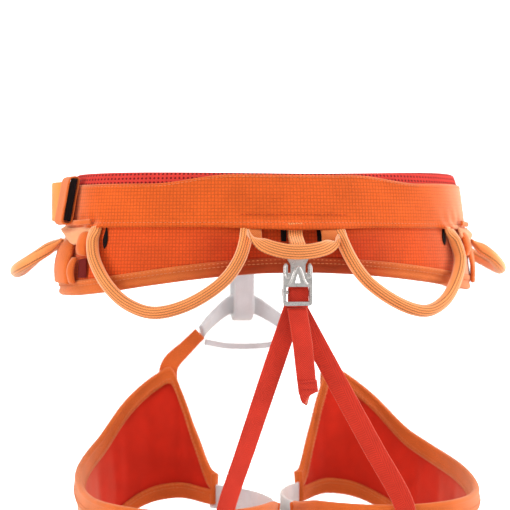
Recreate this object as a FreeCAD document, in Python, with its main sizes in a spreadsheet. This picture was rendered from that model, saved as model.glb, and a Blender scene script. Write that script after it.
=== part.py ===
"""Tree climbing saddle: padded waist belt, two leg loops, rear straps on a hook plate, gear loops, haul loop,
belay loop and waist buckle, each piece a solid of its own.

Frame: millimetres, origin at the centre of the waist ring on the seam between the belt's upper band and its
lower shell. +Z is up, +Y is the wearer's front and -X is the wearer's left.
Angles on the waist ring are in degrees from the middle of the back: -90 is the left hip, 90 the right hip and
180 the middle of the front.
"""

import FreeCAD, Part
import math
import os

from FreeCAD import Placement, Rotation, Vector

doc = FreeCAD.newDocument("climbing_saddle")

# ------------------------------------------------------------------ driving dimensions
SIZES = {
    # waist ring, measured on the face that touches the body
    "waist_half_width": 153,
    "waist_half_depth": 84,
    "hip_flare": 0.13,
    # belt edges above and below the seam
    "belt_top": 40,
    "belt_low_back": 34,
    "belt_low_hip": 53,
    "belt_low_end": 13,
    "belt_top_end": 29,
    "belt_end_angle": 154,
    "binding_height": 9,
    # belt layers, outwards from the body
    "lining_thick": 1.2,
    "foam_thick": 5,
    "webbing_thick": 1.8,
    "shell_thick": 1,
    "band_thick": 1.4,
    "layer_gap": 0.1,
    # waist strap and its buckle
    "strap_width": 30,
    "strap_thick": 1.8,
    "buckle_height": 42,
    "buckle_thick": 2.6,
    "bar_width": 5,
    # gear loops and haul loop
    "cord_radius": 4.8,
    "haul_width": 12,
    "haul_thick": 5,
    "rear_loop_drop": 61,
    # rear suspension
    "rear_strap_width": 15,
    "rear_strap_thick": 1.8,
    "hanger_width": 11,
    "hook_width": 22,
    "hook_thick": 2.4,
    "tail_length": 62,
    # front connection
    "belay_width": 18,
    "belay_height": 104,
    "belay_depth": 26,
    "belay_thick": 4,
    "bridge_width": 17,
    "bridge_thick": 4,
    # leg loops
    "leg_centre_x": 80,
    "leg_centre_y": -36,
    "leg_half_width": 71,
    "leg_half_depth": 99,
    "leg_foam_thick": 4,
    "leg_shell_thick": 1,
    "elastic_width": 20,
}

sheet = doc.addObject("Spreadsheet::Sheet", "Sizes")
for row, (alias, value) in enumerate(SIZES.items(), start=1):
    sheet.set(f"A{row}", alias)
    sheet.set(f"B{row}", str(value))
    sheet.setAlias(f"B{row}", alias)
doc.recompute()


def size(alias):
    """The value of one driving dimension."""
    return float(sheet.get(alias))


SUBPARTS = []
GAP = size("layer_gap")
LEFT, RIGHT = -1, 1
SIDES = {"left": LEFT, "right": RIGHT}


def keep(obj, label):
    """Names a finished sub-part, so that it is checked and exported."""
    obj.Label = label
    SUBPARTS.append(obj)
    return obj


def feature(label, shape):
    """A sub-part whose shape is made with Part's own functions."""
    obj = doc.addObject("Part::Feature", label)
    obj.Shape = shape
    obj.Placement = Placement()
    return keep(obj, label)


# ------------------------------------------------------------------ curves and lofts
def along(table, at):
    """Value at a place in a table of (place, value), along a smooth curve that doesn't overshoot."""
    places = [place for place, _ in table]
    values = [value for _, value in table]
    if at <= places[0]:
        return values[0]
    if at >= places[-1]:
        return values[-1]
    rises = [(values[i + 1] - values[i]) / (places[i + 1] - places[i]) for i in range(len(table) - 1)]
    slopes = [0.0]
    for before, after in zip(rises, rises[1:]):
        slopes.append(2 * before * after / (before + after) if before * after > 0 else 0.0)
    slopes.append(0.0)
    i = max(k for k in range(len(rises)) if places[k] <= at)
    gap = places[i + 1] - places[i]
    share = (at - places[i]) / gap
    rest = 1 - share
    return (
        values[i] * (1 + 2 * share) * rest * rest
        + values[i + 1] * share * share * (3 - 2 * share)
        + gap * share * rest * (slopes[i] * rest - slopes[i + 1] * share)
    )


def steps(low, high, count):
    return [low + (high - low) * i / (count - 1) for i in range(count)]


def loft(sections, ruled=False):
    """A solid through closed polygons."""
    wires = [Part.makePolygon(points + [points[0]]) for points in sections]
    return Part.makeLoft(wires, True, ruled)


def spline(points):
    curve = Part.BSplineCurve()
    curve.interpolate(points)
    return curve


def between(vectors, share):
    """The vector at a share of the way through an evenly spaced list."""
    place = share * (len(vectors) - 1)
    low = min(int(place), len(vectors) - 2)
    return vectors[low] * (1 - place + low) + vectors[low + 1] * (place - low)


def ribbon(points, width, thick, faces=None, across=None, count=24, widths=None, ruled=False):
    """A flat strap along points. Its flat side looks along faces, one direction for each point, or its width
    runs along across. widths is a table of (share of the length, width) for a strap that tapers. A strap with
    tight turns is ruled: its faces run straight from section to section."""
    path = spline(points)
    sections = []
    for share in steps(0, 1, count):
        spot = path.FirstParameter + (path.LastParameter - path.FirstParameter) * share
        at = path.value(spot)
        run = Vector(*path.tangent(spot)[0]).normalize()
        if faces:
            out = between(faces, share)
            side = run.cross((out - run * out.dot(run)).normalize()).normalize()
        else:
            side = (across - run * across.dot(run)).normalize()
        half = side * ((along(widths, share) if widths else width) / 2)
        lift = run.cross(side).normalize() * (thick / 2)
        sections.append([at - half - lift, at + half - lift, at + half + lift, at - half + lift])
    return loft(sections, ruled)


# ------------------------------------------------------------------ the waist ring
def on_belt(angle, height, out):
    """A point on the belt: angle round the waist, height above the seam and distance out from the body."""
    a, b = size("waist_half_width"), size("waist_half_depth")
    s, c = math.sin(math.radians(angle)), math.cos(math.radians(angle))
    normal = Vector(s / a, -c / b, 0).normalize()
    return Vector(a * s, -b * c, height) + normal * (out - size("hip_flare") * height)


def outward(angle):
    """Level direction away from the body at an angle round the waist."""
    a, b = size("waist_half_width"), size("waist_half_depth")
    return Vector(math.sin(math.radians(angle)) / a, -math.cos(math.radians(angle)) / b, 0).normalize()


END = size("belt_end_angle")
TOP_TABLE = [(0, size("belt_top")), (95, size("belt_top")), (END, size("belt_top_end"))]
LOW_TABLE = [
    (0, -size("belt_low_back")),
    (78, -size("belt_low_hip")),
    (98, -size("belt_low_hip")),
    (END, -size("belt_low_end")),
]
TRIM_SHOWN = 9
BAND_TOP_TABLE = [
    (16, size("belt_top") - 1),
    (40, size("belt_top") - TRIM_SHOWN),
    (95, size("belt_top") - TRIM_SHOWN),
    (END, size("belt_top_end") - TRIM_SHOWN),
]


def belt_top(angle):
    return along(TOP_TABLE, abs(angle))


def belt_low(angle):
    return along(LOW_TABLE, abs(angle))


LINING_OUT = size("lining_thick")
FOAM_IN = LINING_OUT + GAP
FOAM_OUT = FOAM_IN + size("foam_thick")
WEBBING_IN = FOAM_OUT + GAP
WEBBING_OUT = WEBBING_IN + size("webbing_thick")
SHELL_IN = WEBBING_OUT + GAP
SHELL_OUT = SHELL_IN + size("shell_thick")
BAND_IN = SHELL_OUT + GAP
BAND_OUT = BAND_IN + size("band_thick")
TRIM_THICK = 0.9
BELT_SECTIONS = 41


def belt_layer(label, low, high, inner, outer, first=-END, last=END):
    """A layer of the belt between two height functions and two distances out from the body."""
    sections = []
    for angle in steps(first, last, BELT_SECTIONS):
        sections.append(
            [
                on_belt(angle, low(angle), inner),
                on_belt(angle, low(angle), outer),
                on_belt(angle, high(angle), outer),
                on_belt(angle, high(angle), inner),
            ]
        )
    return feature(label, loft(sections))


def edge_channel(label, edge, way, reach, inner, outer):
    """A folded tape over one long edge of the belt. way is 1 over the top edge and -1 under the lower one."""
    sections = []
    for angle in steps(-END, END, BELT_SECTIONS):
        rim = edge(angle) + way * (GAP + TRIM_THICK)
        inside = edge(angle) + way * GAP
        root = edge(angle) - way * reach
        profile = [
            (rim, inner - TRIM_THICK),
            (rim, outer + TRIM_THICK),
            (root, outer + TRIM_THICK),
            (root, outer),
            (inside, outer),
            (inside, inner),
            (root, inner),
            (root, inner - TRIM_THICK),
        ]
        sections.append([on_belt(angle, height, out) for height, out in profile])
    return feature(label, loft(sections))


def webbing_middle(angle):
    return along([(0, 16), (95, 16), (END, (size("belt_top_end") - size("belt_low_end")) / 2)], abs(angle))


HALF_STRAP = size("strap_width") / 2
belt_layer("belt_lining", belt_low, belt_top, 0, LINING_OUT)
belt_layer("belt_foam", belt_low, belt_top, FOAM_IN, FOAM_OUT)
belt_layer(
    "waist_webbing",
    lambda angle: webbing_middle(angle) - HALF_STRAP,
    lambda angle: webbing_middle(angle) + HALF_STRAP,
    WEBBING_IN,
    WEBBING_OUT,
)
belt_layer("belt_lower_shell", belt_low, lambda angle: belt_top(angle) - 14, SHELL_IN, SHELL_OUT)


def band_top(angle):
    return along(BAND_TOP_TABLE, abs(angle))


belt_layer("belt_upper_band", lambda angle: 0, band_top, BAND_IN, BAND_OUT)
edge_channel("belt_top_trim", belt_top, 1, 12, -GAP, SHELL_OUT - TRIM_THICK)
edge_channel("belt_lower_binding", belt_low, -1, size("binding_height"), -GAP, SHELL_OUT + GAP)

# ------------------------------------------------------------------ gear loops and haul loop
CORD = size("cord_radius")
CORD_SEAT = SHELL_OUT + CORD + 0.5
LOOP_TOP = -1.6


def cord_loop(label, points):
    """A round cord swept along a smooth path, its radius read from the sheet."""
    path = doc.addObject("Part::Feature", label + "_path")
    path.Shape = Part.Wire([spline(points).toShape()])
    ring = doc.addObject("Part::Circle", label + "_ring")
    ring.setExpression("Radius", "Sizes.cord_radius")
    start = spline(points)
    run = Vector(*start.tangent(start.FirstParameter)[0])
    ring.Placement = Placement(points[0], Rotation(Vector(0, 0, 1), run))
    sweep = doc.addObject("Part::Sweep", label + "_sweep")
    sweep.Sections = [ring]
    sweep.Spine = (path, ["Edge1"])
    sweep.Solid = True
    return keep(sweep, label)


REAR_LOOP_SHAPE = {
    LEFT: [
        (13.2, 0),
        (15.2, 0.36),
        (19.8, 0.66),
        (28.5, 0.92),
        (38, 1.03),
        (46.5, 0.93),
        (54, 0.70),
        (60, 0.40),
        (62.5, 0.16),
        (62.5, 0),
    ],
    RIGHT: [
        (13.0, 0),
        (14.9, 0.36),
        (19.4, 0.66),
        (28, 0.92),
        (37, 1.03),
        (45, 0.93),
        (52, 0.70),
        (57.5, 0.40),
        (58, 0.16),
        (56.5, 0),
    ],
}
FRONT_LOOP_SHAPE = [(84, 0), (86, 0.5), (93, 0.86), (106, 1), (120, 0.9), (132, 0.52), (136, 0)]
FRONT_LOOP_REACH = 38
FRONT_LOOP_TILT = 0.72
FRONT_LOOP_SINK = 8


def rear_loop_points(side):
    """The rear gear loop hangs from the back to the hip and follows the belt round."""
    drop = size("rear_loop_drop")
    points = []
    for angle, share in REAR_LOOP_SHAPE[side]:
        lean = 8 * share - size("hip_flare") * drop * share * 0.6
        points.append(on_belt(side * angle, LOOP_TOP - drop * share, CORD_SEAT + lean))
    return points


def front_loop_points(side):
    """The front gear loop stands out sideways from the hip and droops as it goes out."""
    points = []
    for angle, share in FRONT_LOOP_SHAPE:
        spot = on_belt(side * angle, 0, CORD_SEAT + FRONT_LOOP_REACH * share)
        sink = FRONT_LOOP_SINK + FRONT_LOOP_TILT * max(0, abs(spot.x) - size("waist_half_width") - CORD_SEAT)
        points.append(Vector(spot.x, spot.y, LOOP_TOP - sink))
    return points


for name, side in SIDES.items():
    cord_loop(f"rear_gear_loop_{name}", rear_loop_points(side))
    cord_loop(f"front_gear_loop_{name}", front_loop_points(side))


HAUL_REACH, HAUL_SAG, HAUL_BOW = 25, 16, 20


def haul_loop():
    """A flat tubular loop: it leaves the belt downwards, turns edgeways and bows away from the belt."""
    reach, sag, bow = HAUL_REACH, HAUL_SAG, HAUL_BOW
    seat = SHELL_OUT + size("haul_thick") / 2 + 2.2
    points, faces = [], []
    for share in steps(-1, 1, 11):
        swing = math.cos(math.pi * share / 2)
        x = reach * math.sin(math.pi * share / 2)
        back = on_belt(math.degrees(math.asin(x / size("waist_half_width"))), 0, seat)
        points.append(Vector(x, back.y - bow * swing**1.3, LOOP_TOP - sag * swing**0.75))
        faces.append(Vector(0.01 * x, -1, 0))
    return ribbon(points, size("haul_width"), size("haul_thick"), faces=faces, count=31)


feature("haul_loop", haul_loop())

# ------------------------------------------------------------------ hip webbing under the gear loop ends
def belt_block(low, high, inner, outer, first, last, count=7):
    """A solid on the belt between two heights, two distances out and two angles."""
    sections = []
    for angle in steps(first, last, count):
        corners = [(low, inner), (low, outer), (high, outer), (high, inner)]
        sections.append([on_belt(angle, height, out) for height, out in corners])
    return loft(sections)


ON_SHELL = SHELL_OUT + 2 * GAP
ANCHOR_LOW, ANCHOR_THICK = -43, 2
WRAP_LOW, WRAP_THICK = -14, 4
for name, side in SIDES.items():
    anchor_out = ON_SHELL + ANCHOR_THICK
    anchor = belt_block(ANCHOR_LOW, LOOP_TOP, ON_SHELL, anchor_out, side * 71, side * 77)
    feature(f"hip_anchor_{name}", anchor)
    wrap_in = anchor_out + 2 * GAP
    wrap = belt_block(WRAP_LOW, LOOP_TOP, wrap_in, wrap_in + WRAP_THICK, side * 66.5, side * 80.5)
    feature(f"hip_wrap_{name}", wrap)

# ------------------------------------------------------------------ waist strap, buckle and keeper
STRAP = size("strap_width")
STRAP_THICK = size("strap_thick")
FRONT_MIDDLE = webbing_middle(END)
BUCKLE_ANGLE = -164
BAR = size("bar_width")
BUCKLE_HALF = 17
INNER_RUN = WEBBING_IN + STRAP_THICK / 2
FRAME_IN = INNER_RUN + STRAP_THICK / 2 + 0.2
FRAME_OUT = FRAME_IN + size("buckle_thick")
OUTER_RUN = FRAME_OUT + 0.3 + STRAP_THICK / 2


def buckle_spot(along_strap, out, height=0.0):
    """A point by its distance from the buckle's middle towards the wearer's left, and its distance out."""
    centre = on_belt(BUCKLE_ANGLE, FRONT_MIDDLE, out)
    run = outward(BUCKLE_ANGLE).cross(Vector(0, 0, 1)) * -1
    return centre + run * along_strap + Vector(0, 0, height)


def turn_round(centre, first_out, last_out, way, count=5):
    """Points of a half turn round a buckle bar, from one run of the strap to the other."""
    middle, radius = (first_out + last_out) / 2, (last_out - first_out) / 2
    points = []
    for share in steps(0, 1, count):
        swing = math.pi * share
        points.append(buckle_spot(centre + way * radius * math.sin(swing), middle - radius * math.cos(swing)))
    return points


def strap_point(angle, out):
    return on_belt(angle, along([(95, 20), (END, FRONT_MIDDLE)], abs(angle)), out)


def waist_strap():
    """From inside the left pad, under the frame, round its middle bar and back over the pad to the hip."""
    inner = [strap_point(-END - 0.4, INNER_RUN), buckle_spot(16, INNER_RUN)]
    outer = [buckle_spot(9, OUTER_RUN), buckle_spot(16, OUTER_RUN)]
    outer += [strap_point(angle, OUTER_RUN + 2.4) for angle in (-152, -145, -138, -130, -122, -116)]
    points = inner + [buckle_spot(8, INNER_RUN)] + turn_round(-2.2, INNER_RUN, OUTER_RUN, -1) + outer
    return ribbon(points, STRAP, STRAP_THICK, across=Vector(0, 0, 1), count=90, ruled=True)


def anchor_webbing():
    """From inside the right pad across the front, round the frame's anchor bar and back on itself."""
    inner = [strap_point(angle, INNER_RUN) for angle in (END + 0.4, 158, 164, 171, 178, 184)]
    outer = [strap_point(angle, OUTER_RUN) for angle in (182, 176, 171)]
    turn = turn_round(-BUCKLE_HALF + BAR - 0.4, INNER_RUN, OUTER_RUN, 1)
    points = inner + [buckle_spot(-19, INNER_RUN)] + turn + [buckle_spot(-19, OUTER_RUN)] + outer
    return ribbon(points, STRAP, STRAP_THICK, across=Vector(0, 0, 1), count=90, ruled=True)


def rounded(corners):
    """Sketch geometry for a closed outline of (x, y, corner radius), drawn as lines and arcs."""
    pieces, starts, ends = [], [], []
    count = len(corners)
    for i in range(count):
        x, y, radius = corners[i]
        here = Vector(x, y, 0)
        to_last = (Vector(corners[i - 1][0], corners[i - 1][1], 0) - here).normalize()
        to_next = (Vector(corners[(i + 1) % count][0], corners[(i + 1) % count][1], 0) - here).normalize()
        half = to_last.getAngle(to_next) / 2
        back = radius / math.tan(half)
        first, last = here + to_last * back, here + to_next * back
        if radius:
            centre = here + (to_last + to_next).normalize() * (radius / math.sin(half))
            middle = centre + (here - centre).normalize() * radius
            pieces.append(Part.Arc(first, middle, last))
        starts.append(first)
        ends.append(last)
    for i in range(count):
        pieces.append(Part.LineSegment(ends[i], starts[(i + 1) % count]))
    return pieces


def plane_of(body, role):
    return next(item for item in body.Origin.OriginFeatures if item.Role == role)


def sketch_on(body, name, role, outlines):
    """A sketch on one of the body's own origin planes, holding closed outlines."""
    sketch = body.newObject("Sketcher::SketchObject", name)
    sketch.AttachmentSupport = [(plane_of(body, role), "")]
    sketch.MapMode = "FlatFace"
    for outline in outlines:
        for piece in outline:
            sketch.addGeometry(piece, False)
    return sketch


def plate(label, outlines, thickness, role="XY_Plane"):
    """A flat plate: outlines padded both ways from their plane by a thickness that the sheet holds."""
    body = doc.addObject("PartDesign::Body", label)
    sketch = sketch_on(body, label + "_outline", role, outlines)
    pad = body.newObject("PartDesign::Pad", label + "_pad")
    pad.Profile = sketch
    pad.Midplane = True
    pad.setExpression("Length", thickness)
    doc.recompute()
    return keep(body, label)


def box_outline(x0, y0, x1, y1, radius):
    return rounded([(x0, y0, radius), (x1, y0, radius), (x1, y1, radius), (x0, y1, radius)])


def set_in_strap(body, out):
    """Places a buckle plate drawn with x along the strap and y up, flat on the belt's front."""
    run = outward(BUCKLE_ANGLE).cross(Vector(0, 0, 1)) * -1
    up = Vector(0, 0, 1)
    body.Placement = Placement(buckle_spot(0, out), Rotation(run, up, run.cross(up)))


HALF_BUCKLE = size("buckle_height") / 2
SLOT_HALF = HALF_BUCKLE - BAR
feature("waist_strap", waist_strap())
feature("buckle_anchor_webbing", anchor_webbing())
frame = plate(
    "buckle_frame",
    [
        box_outline(-BUCKLE_HALF, -HALF_BUCKLE, BUCKLE_HALF, HALF_BUCKLE, 4),
        box_outline(-BUCKLE_HALF + BAR, -SLOT_HALF, -BAR / 2, SLOT_HALF, 1.5),
        box_outline(BAR / 2, -SLOT_HALF, BUCKLE_HALF - BAR, SLOT_HALF, 1.5),
    ],
    "Sizes.buckle_thick",
)
set_in_strap(frame, (FRAME_IN + FRAME_OUT) / 2)
SLIDER_OUT = OUTER_RUN + STRAP_THICK / 2 + 1 + size("buckle_thick") / 2
slider = plate(
    "buckle_slider",
    [
        box_outline(-3, -HALF_BUCKLE, 15, HALF_BUCKLE, 4),
        box_outline(3, -SLOT_HALF, 10, SLOT_HALF, 1.5),
    ],
    "Sizes.buckle_thick",
)
set_in_strap(slider, SLIDER_OUT)

KEEPER_LOW, KEEPER_HIGH, KEEPER_WALL = 2.5, 38, 1.5
KEEPER_IN, KEEPER_OUT = BAND_OUT + 0.2, BAND_OUT + 11
KEEPER_REAR, KEEPER_FRONT = -71, -79
keeper = belt_block(KEEPER_LOW, KEEPER_HIGH, KEEPER_IN, KEEPER_OUT, KEEPER_REAR, KEEPER_FRONT)
hollow = belt_block(
    KEEPER_LOW + KEEPER_WALL,
    KEEPER_HIGH - KEEPER_WALL,
    KEEPER_IN + KEEPER_WALL,
    KEEPER_OUT - KEEPER_WALL,
    KEEPER_REAR + 1,
    KEEPER_FRONT - 1,
)
feature("tail_keeper", keeper.cut(hollow))


TAIL_SHAPE = [
    (-122, 4.6),
    (-116, 5.4),
    (-108, 8),
    (-100, 10.2),
    (-92, 9.8),
    (-85, 7.2),
    (-79, 4.2),
    (-74, 3.5),
    (-70, 3.5),
]


def strap_tail():
    """The strap's folded end: it starts on top of the strap, bows off the belt and ends inside the keeper."""
    points = [strap_point(angle, OUTER_RUN + out) for angle, out in TAIL_SHAPE]
    return ribbon(points, STRAP, STRAP_THICK, across=Vector(0, 0, 1))


feature("strap_tail", strap_tail())

# ------------------------------------------------------------------ tie-in loop, belay loop and bridge
RING_BACK = on_belt(180, FRONT_MIDDLE, OUTER_RUN + STRAP_THICK / 2).y + 2.6
RING_Y = RING_BACK + size("belay_depth") / 2
TIE_IN_WIDTH = 22
RING_TOP = FRONT_MIDDLE + TIE_IN_WIDTH / 2 + 1.5 + size("belay_thick")
RING_LOW = RING_TOP - size("belay_height")


def tie_in_loop():
    """Load-bearing loop on the belt's front: the rope passes up through it, with the belay loop."""
    foot = on_belt(180, FRONT_MIDDLE, OUTER_RUN + STRAP_THICK / 2).y + 1.8
    half = [(22, foot), (16, foot + 1), (13.5, foot + 7), (9, RING_Y - 1.5)]
    points = [Vector(x, y, FRONT_MIDDLE) for x, y in half]
    points.append(Vector(0, RING_Y, FRONT_MIDDLE))
    points += [Vector(-x, y, FRONT_MIDDLE) for x, y in reversed(half)]
    return ribbon(points, TIE_IN_WIDTH, 2, across=Vector(0, 0, 1), count=41)


feature("upper_tie_in_loop", tie_in_loop())


def oval(half_depth, low, high):
    """A closed oval outline with round ends, x across and y up."""
    left = Vector(-half_depth, 0, 0)
    bottom, top = Vector(0, low + half_depth, 0), Vector(0, high - half_depth, 0)
    right = left * -1
    return [
        Part.LineSegment(bottom + right, top + right),
        Part.Arc(top + right, Vector(0, high, 0), top + left),
        Part.LineSegment(top + left, bottom + left),
        Part.Arc(bottom + left, Vector(0, low, 0), bottom + right),
    ]


BELAY_THICK = size("belay_thick")
HALF_RING = size("belay_depth") / 2
ring = plate(
    "belay_loop",
    [
        oval(HALF_RING, RING_LOW, RING_TOP),
        oval(HALF_RING - BELAY_THICK, RING_LOW + BELAY_THICK, RING_TOP - BELAY_THICK),
    ],
    "Sizes.belay_width",
    "YZ_Plane",
)
ring.Placement = Placement(Vector(0, RING_Y, 0), Rotation())

BRIDGE_Z = RING_LOW + BELAY_THICK + size("bridge_width") / 2 + 4
BRIDGE_END = Vector(40, 86, BRIDGE_Z - 24)


def bridge():
    """The lower tie-in loop: it arches through the belay loop from one leg loop to the other."""
    half = [BRIDGE_END, Vector(32, 96, BRIDGE_Z - 17), Vector(20, 106, BRIDGE_Z - 8)]
    half.append(Vector(10, RING_Y - 1, BRIDGE_Z - 2))
    points = half + [Vector(0, RING_Y, BRIDGE_Z)] + [Vector(-p.x, p.y, p.z) for p in reversed(half)]
    widths = [(0, 12), (0.3, 14), (0.5, size("bridge_width")), (0.7, 14), (1, 12)]
    width, thick = size("bridge_width"), size("bridge_thick")
    return ribbon(points, width, thick, across=Vector(0, 0, 1), count=41, widths=widths)


feature("lower_tie_in_loop", bridge())
SAG_WIDTH, SAG_THICK, SAG_DEPTH = 5.5, 1.6, 4.5
sag_end = Vector(37, 88, BRIDGE_Z - 33)
sag = [sag_end, Vector(0, 94, sag_end.z - SAG_DEPTH), Vector(-sag_end.x, sag_end.y, sag_end.z)]
feature("leg_bridge_strap", ribbon(sag, SAG_WIDTH, SAG_THICK, across=Vector(0, 0, 1)))

# ------------------------------------------------------------------ hook plate, hanger and rear straps
HOOK_TOP, HOOK_LOW = -17.5, -59.5
HOOK_Y = on_belt(0, -size("belt_low_back"), SHELL_OUT + 2).y - 4.6
HOOK_THICK = size("hook_thick")
HALF_HOOK = size("hook_width") / 2
ARM_IN, NECK = 7.7, 5.6


def hook_outline():
    """Frame for the strap at the bottom, then shoulders with two open arms, a neck and a wide head."""
    right = [
        (HALF_HOOK, HOOK_LOW, 2.6),
        (HALF_HOOK, -30.5, 3),
        (9.3, -27.4, 0.7),
        (ARM_IN, -29.5, 0.5),
        (ARM_IN, -35.5, 1),
        (NECK, -35.5, 1),
        (NECK, -29, 3),
        (8.2, -24.5, 2),
        (9.6, -22, 1),
        (9.6, HOOK_TOP, 2.5),
    ]
    return rounded(right + [(-x, z, radius) for x, z, radius in reversed(right)])


hook = plate(
    "rear_hook",
    [
        hook_outline(),
        box_outline(-6.4, -23, 6.4, -19.6, 1),
        box_outline(-8.9, -56.5, 8.9, -45.4, 1.2),
        rounded([(-2.3, -42.6, 0.5), (2.3, -42.6, 0.5), (0, -34.4, 0.5)]),
    ],
    "Sizes.hook_thick",
    "XZ_Plane",
)
hook.Placement = Placement(Vector(0, HOOK_Y, 0), Rotation())

BAR_Y, BAR_Z, PIN_RADIUS = HOOK_Y + 4.2, -49.6, 1.4
pin = doc.addObject("Part::Cylinder", "hook_bar")
pin.Radius = PIN_RADIUS
pin.Height = 2 * HALF_HOOK - 0.4
pin.Placement = Placement(Vector(-HALF_HOOK + 0.2, BAR_Y, BAR_Z), Rotation(Vector(0, 0, 1), Vector(1, 0, 0)))
cheeks = doc.addObject("Part::MultiFuse", "cheek_pair")
lugs = []
for side in (LEFT, RIGHT):
    lug = doc.addObject("Part::Box", "cheek")
    lug.Length, lug.Width, lug.Height = 1.3, 5.2, 6
    x = side * (HALF_HOOK - 0.9) - 0.65
    lug.Placement = Placement(Vector(x, HOOK_Y + HOOK_THICK / 2 + 0.05, BAR_Z - 3), Rotation())
    lugs.append(lug)
cheeks.Shapes = lugs
drilled = doc.addObject("Part::Cut", "bar_cheeks")
bore = doc.addObject("Part::Cylinder", "cheek_bore")
bore.Radius = PIN_RADIUS + 0.05
bore.Height = 40
bore.Placement = Placement(Vector(-20, BAR_Y, BAR_Z), Rotation(Vector(0, 0, 1), Vector(1, 0, 0)))
drilled.Base, drilled.Tool = cheeks, bore
doc.recompute()
keep(drilled, "hook_cheeks")
keep(pin, "hook_bar")


HANGER_THICK = 1.2
HANGER_SLOT_Z = -21.7


def hanger_loop():
    """Webbing from the belt's seam, down behind the hook's head, through its slot and up in front of it."""
    clear = HOOK_THICK / 2 + HANGER_THICK / 2 + 0.7
    belt_face = on_belt(0, LOOP_TOP, ON_SHELL + HANGER_THICK / 2 + 0.4).y
    points = [
        Vector(0, belt_face, LOOP_TOP),
        Vector(0, belt_face - 0.9, -7),
        Vector(0, HOOK_Y + clear + 1, -14),
        Vector(0, HOOK_Y + clear, -18.5),
        Vector(0, HOOK_Y, HANGER_SLOT_Z),
        Vector(0, HOOK_Y - clear, -18.5),
        Vector(0, HOOK_Y - clear - 0.2, -14),
        Vector(0, belt_face - 3.6, -7),
        Vector(0, belt_face - HANGER_THICK - 0.3, LOOP_TOP),
    ]
    return ribbon(points, size("hanger_width"), HANGER_THICK, across=Vector(1, 0, 0), count=61, ruled=True)


feature("rear_hanger_loop", hanger_loop())
REAR_STRAP = size("rear_strap_width")
REAR_THICK = size("rear_strap_thick")
WRAP = PIN_RADIUS + 0.2 + 0.7


def adjust_strap():
    """Goes up behind the hook's bar, over it, down in front and behind the plate's lower edge."""
    points = [Vector(0, BAR_Y + WRAP, -58), Vector(0, BAR_Y + WRAP, -53.5), Vector(0, BAR_Y + WRAP, BAR_Z)]
    for swing in (45, 90, 135, 180):
        c, s = math.cos(math.radians(swing)), math.sin(math.radians(swing))
        points.append(Vector(0, BAR_Y + WRAP * c, BAR_Z + WRAP * s))
    exit_y = HOOK_Y + HOOK_THICK / 2 + 0.95
    points += [Vector(0, BAR_Y - WRAP, -52.5), Vector(0, exit_y, -56), Vector(0, exit_y, -60.3)]
    return ribbon(points, REAR_STRAP, 1.4, across=Vector(1, 0, 0), count=61, ruled=True)


feature("rear_adjust_strap", adjust_strap())
TAIL_START = Vector(0, HOOK_Y + HOOK_THICK / 2 + 0.95, -61.4)


def tail():
    """The strap's free end, hanging behind the plate's lower edge and then in front of the two straps."""
    low = TAIL_START.z - size("tail_length")
    points = [
        TAIL_START,
        Vector(0.3, HOOK_Y - 1, TAIL_START.z - 6),
        Vector(1.5, HOOK_Y - 9, TAIL_START.z - 25),
        Vector(3.1, HOOK_Y - 14, low + 12),
        Vector(4.2, HOOK_Y - 15, low),
    ]
    faces = [Vector(turn, -1, 0) for turn in (0, 0, 0.05, 0.18, 0.25)]
    return ribbon(points, REAR_STRAP, REAR_THICK, faces=faces)


feature("rear_strap_tail", tail())


# ------------------------------------------------------------------ leg loops
LEG_TAPER, LEG_MIDDLE = 0.08, -215
LEG_FIRST, LEG_LAST = -256, 36
# Top and bottom edges of the padded cuff by angle round the leg: 0 is the front of the leg, positive angles
# run inwards between the legs and -180 is the back of the leg.
LEG_TOP_TABLE = [
    (-256, -212),
    (-235, -207),
    (-180, -205),
    (-120, -203),
    (-75, -190),
    (-43, -173),
    (-15, -138),
    (0, -122),
    (7, -117),
    (14, -137),
    (23, -170),
    (36, -203),
]
LEG_LOW_TABLE = [
    (-256, -236),
    (-235, -258),
    (-180, -288),
    (-120, -286),
    (-75, -272),
    (-43, -250),
    (0, -226),
    (14, -224),
    (36, -228),
]
LEG_FOAM = size("leg_foam_thick")
LEG_LINING_OUT = 1
LEG_FOAM_IN = LEG_LINING_OUT + GAP
LEG_FOAM_OUT = LEG_FOAM_IN + LEG_FOAM
LEG_SHELL_IN = LEG_FOAM_OUT + GAP
LEG_SHELL_OUT = LEG_SHELL_IN + size("leg_shell_thick")
LEG_BINDING = 13


def on_leg(side, angle, height, out):
    """A point round a leg loop, by angle, height and distance out from the face that touches the leg."""
    turn = math.radians(angle)
    wide, deep = size("leg_half_width"), size("leg_half_depth")
    normal = Vector(-math.sin(turn) * deep, math.cos(turn) * wide, 0).normalize()
    reach = out + LEG_TAPER * (height - LEG_MIDDLE)
    x = -wide * math.sin(turn) + normal.x * reach
    y = size("leg_centre_y") + deep * math.cos(turn) + normal.y * reach
    return Vector(side * (size("leg_centre_x") + x), y, height)


def leg_layer(label, side, low, high, inner, outer, first=LEG_FIRST, last=LEG_LAST, count=74):
    sections = []
    for angle in steps(first, last, count):
        corners = [(low(angle), inner), (low(angle), outer), (high(angle), outer), (high(angle), inner)]
        sections.append([on_leg(side, angle, height, out) for height, out in corners])
    return feature(label, loft(sections))


def leg_channel(label, side, edge, way, reach, inner, outer, wall=0.8):
    """A tape folded over a long edge of the cuff: way is 1 for the top edge and -1 for the bottom."""
    sections = []
    for angle in steps(LEG_FIRST, LEG_LAST, 74):
        z = edge(angle)
        tip, lip = z + way * wall, z + way * GAP
        corners = [
            (z - way * reach, inner - wall),
            (tip, inner - wall),
            (tip, outer + wall),
            (z - way * reach, outer + wall),
            (z - way * reach, outer),
            (lip, outer),
            (lip, inner),
            (z - way * reach, inner),
        ]
        sections.append([on_leg(side, angle, height, out) for height, out in corners])
    return feature(label, loft(sections))


def leg_top(angle):
    return along(LEG_TOP_TABLE, angle)


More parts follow.
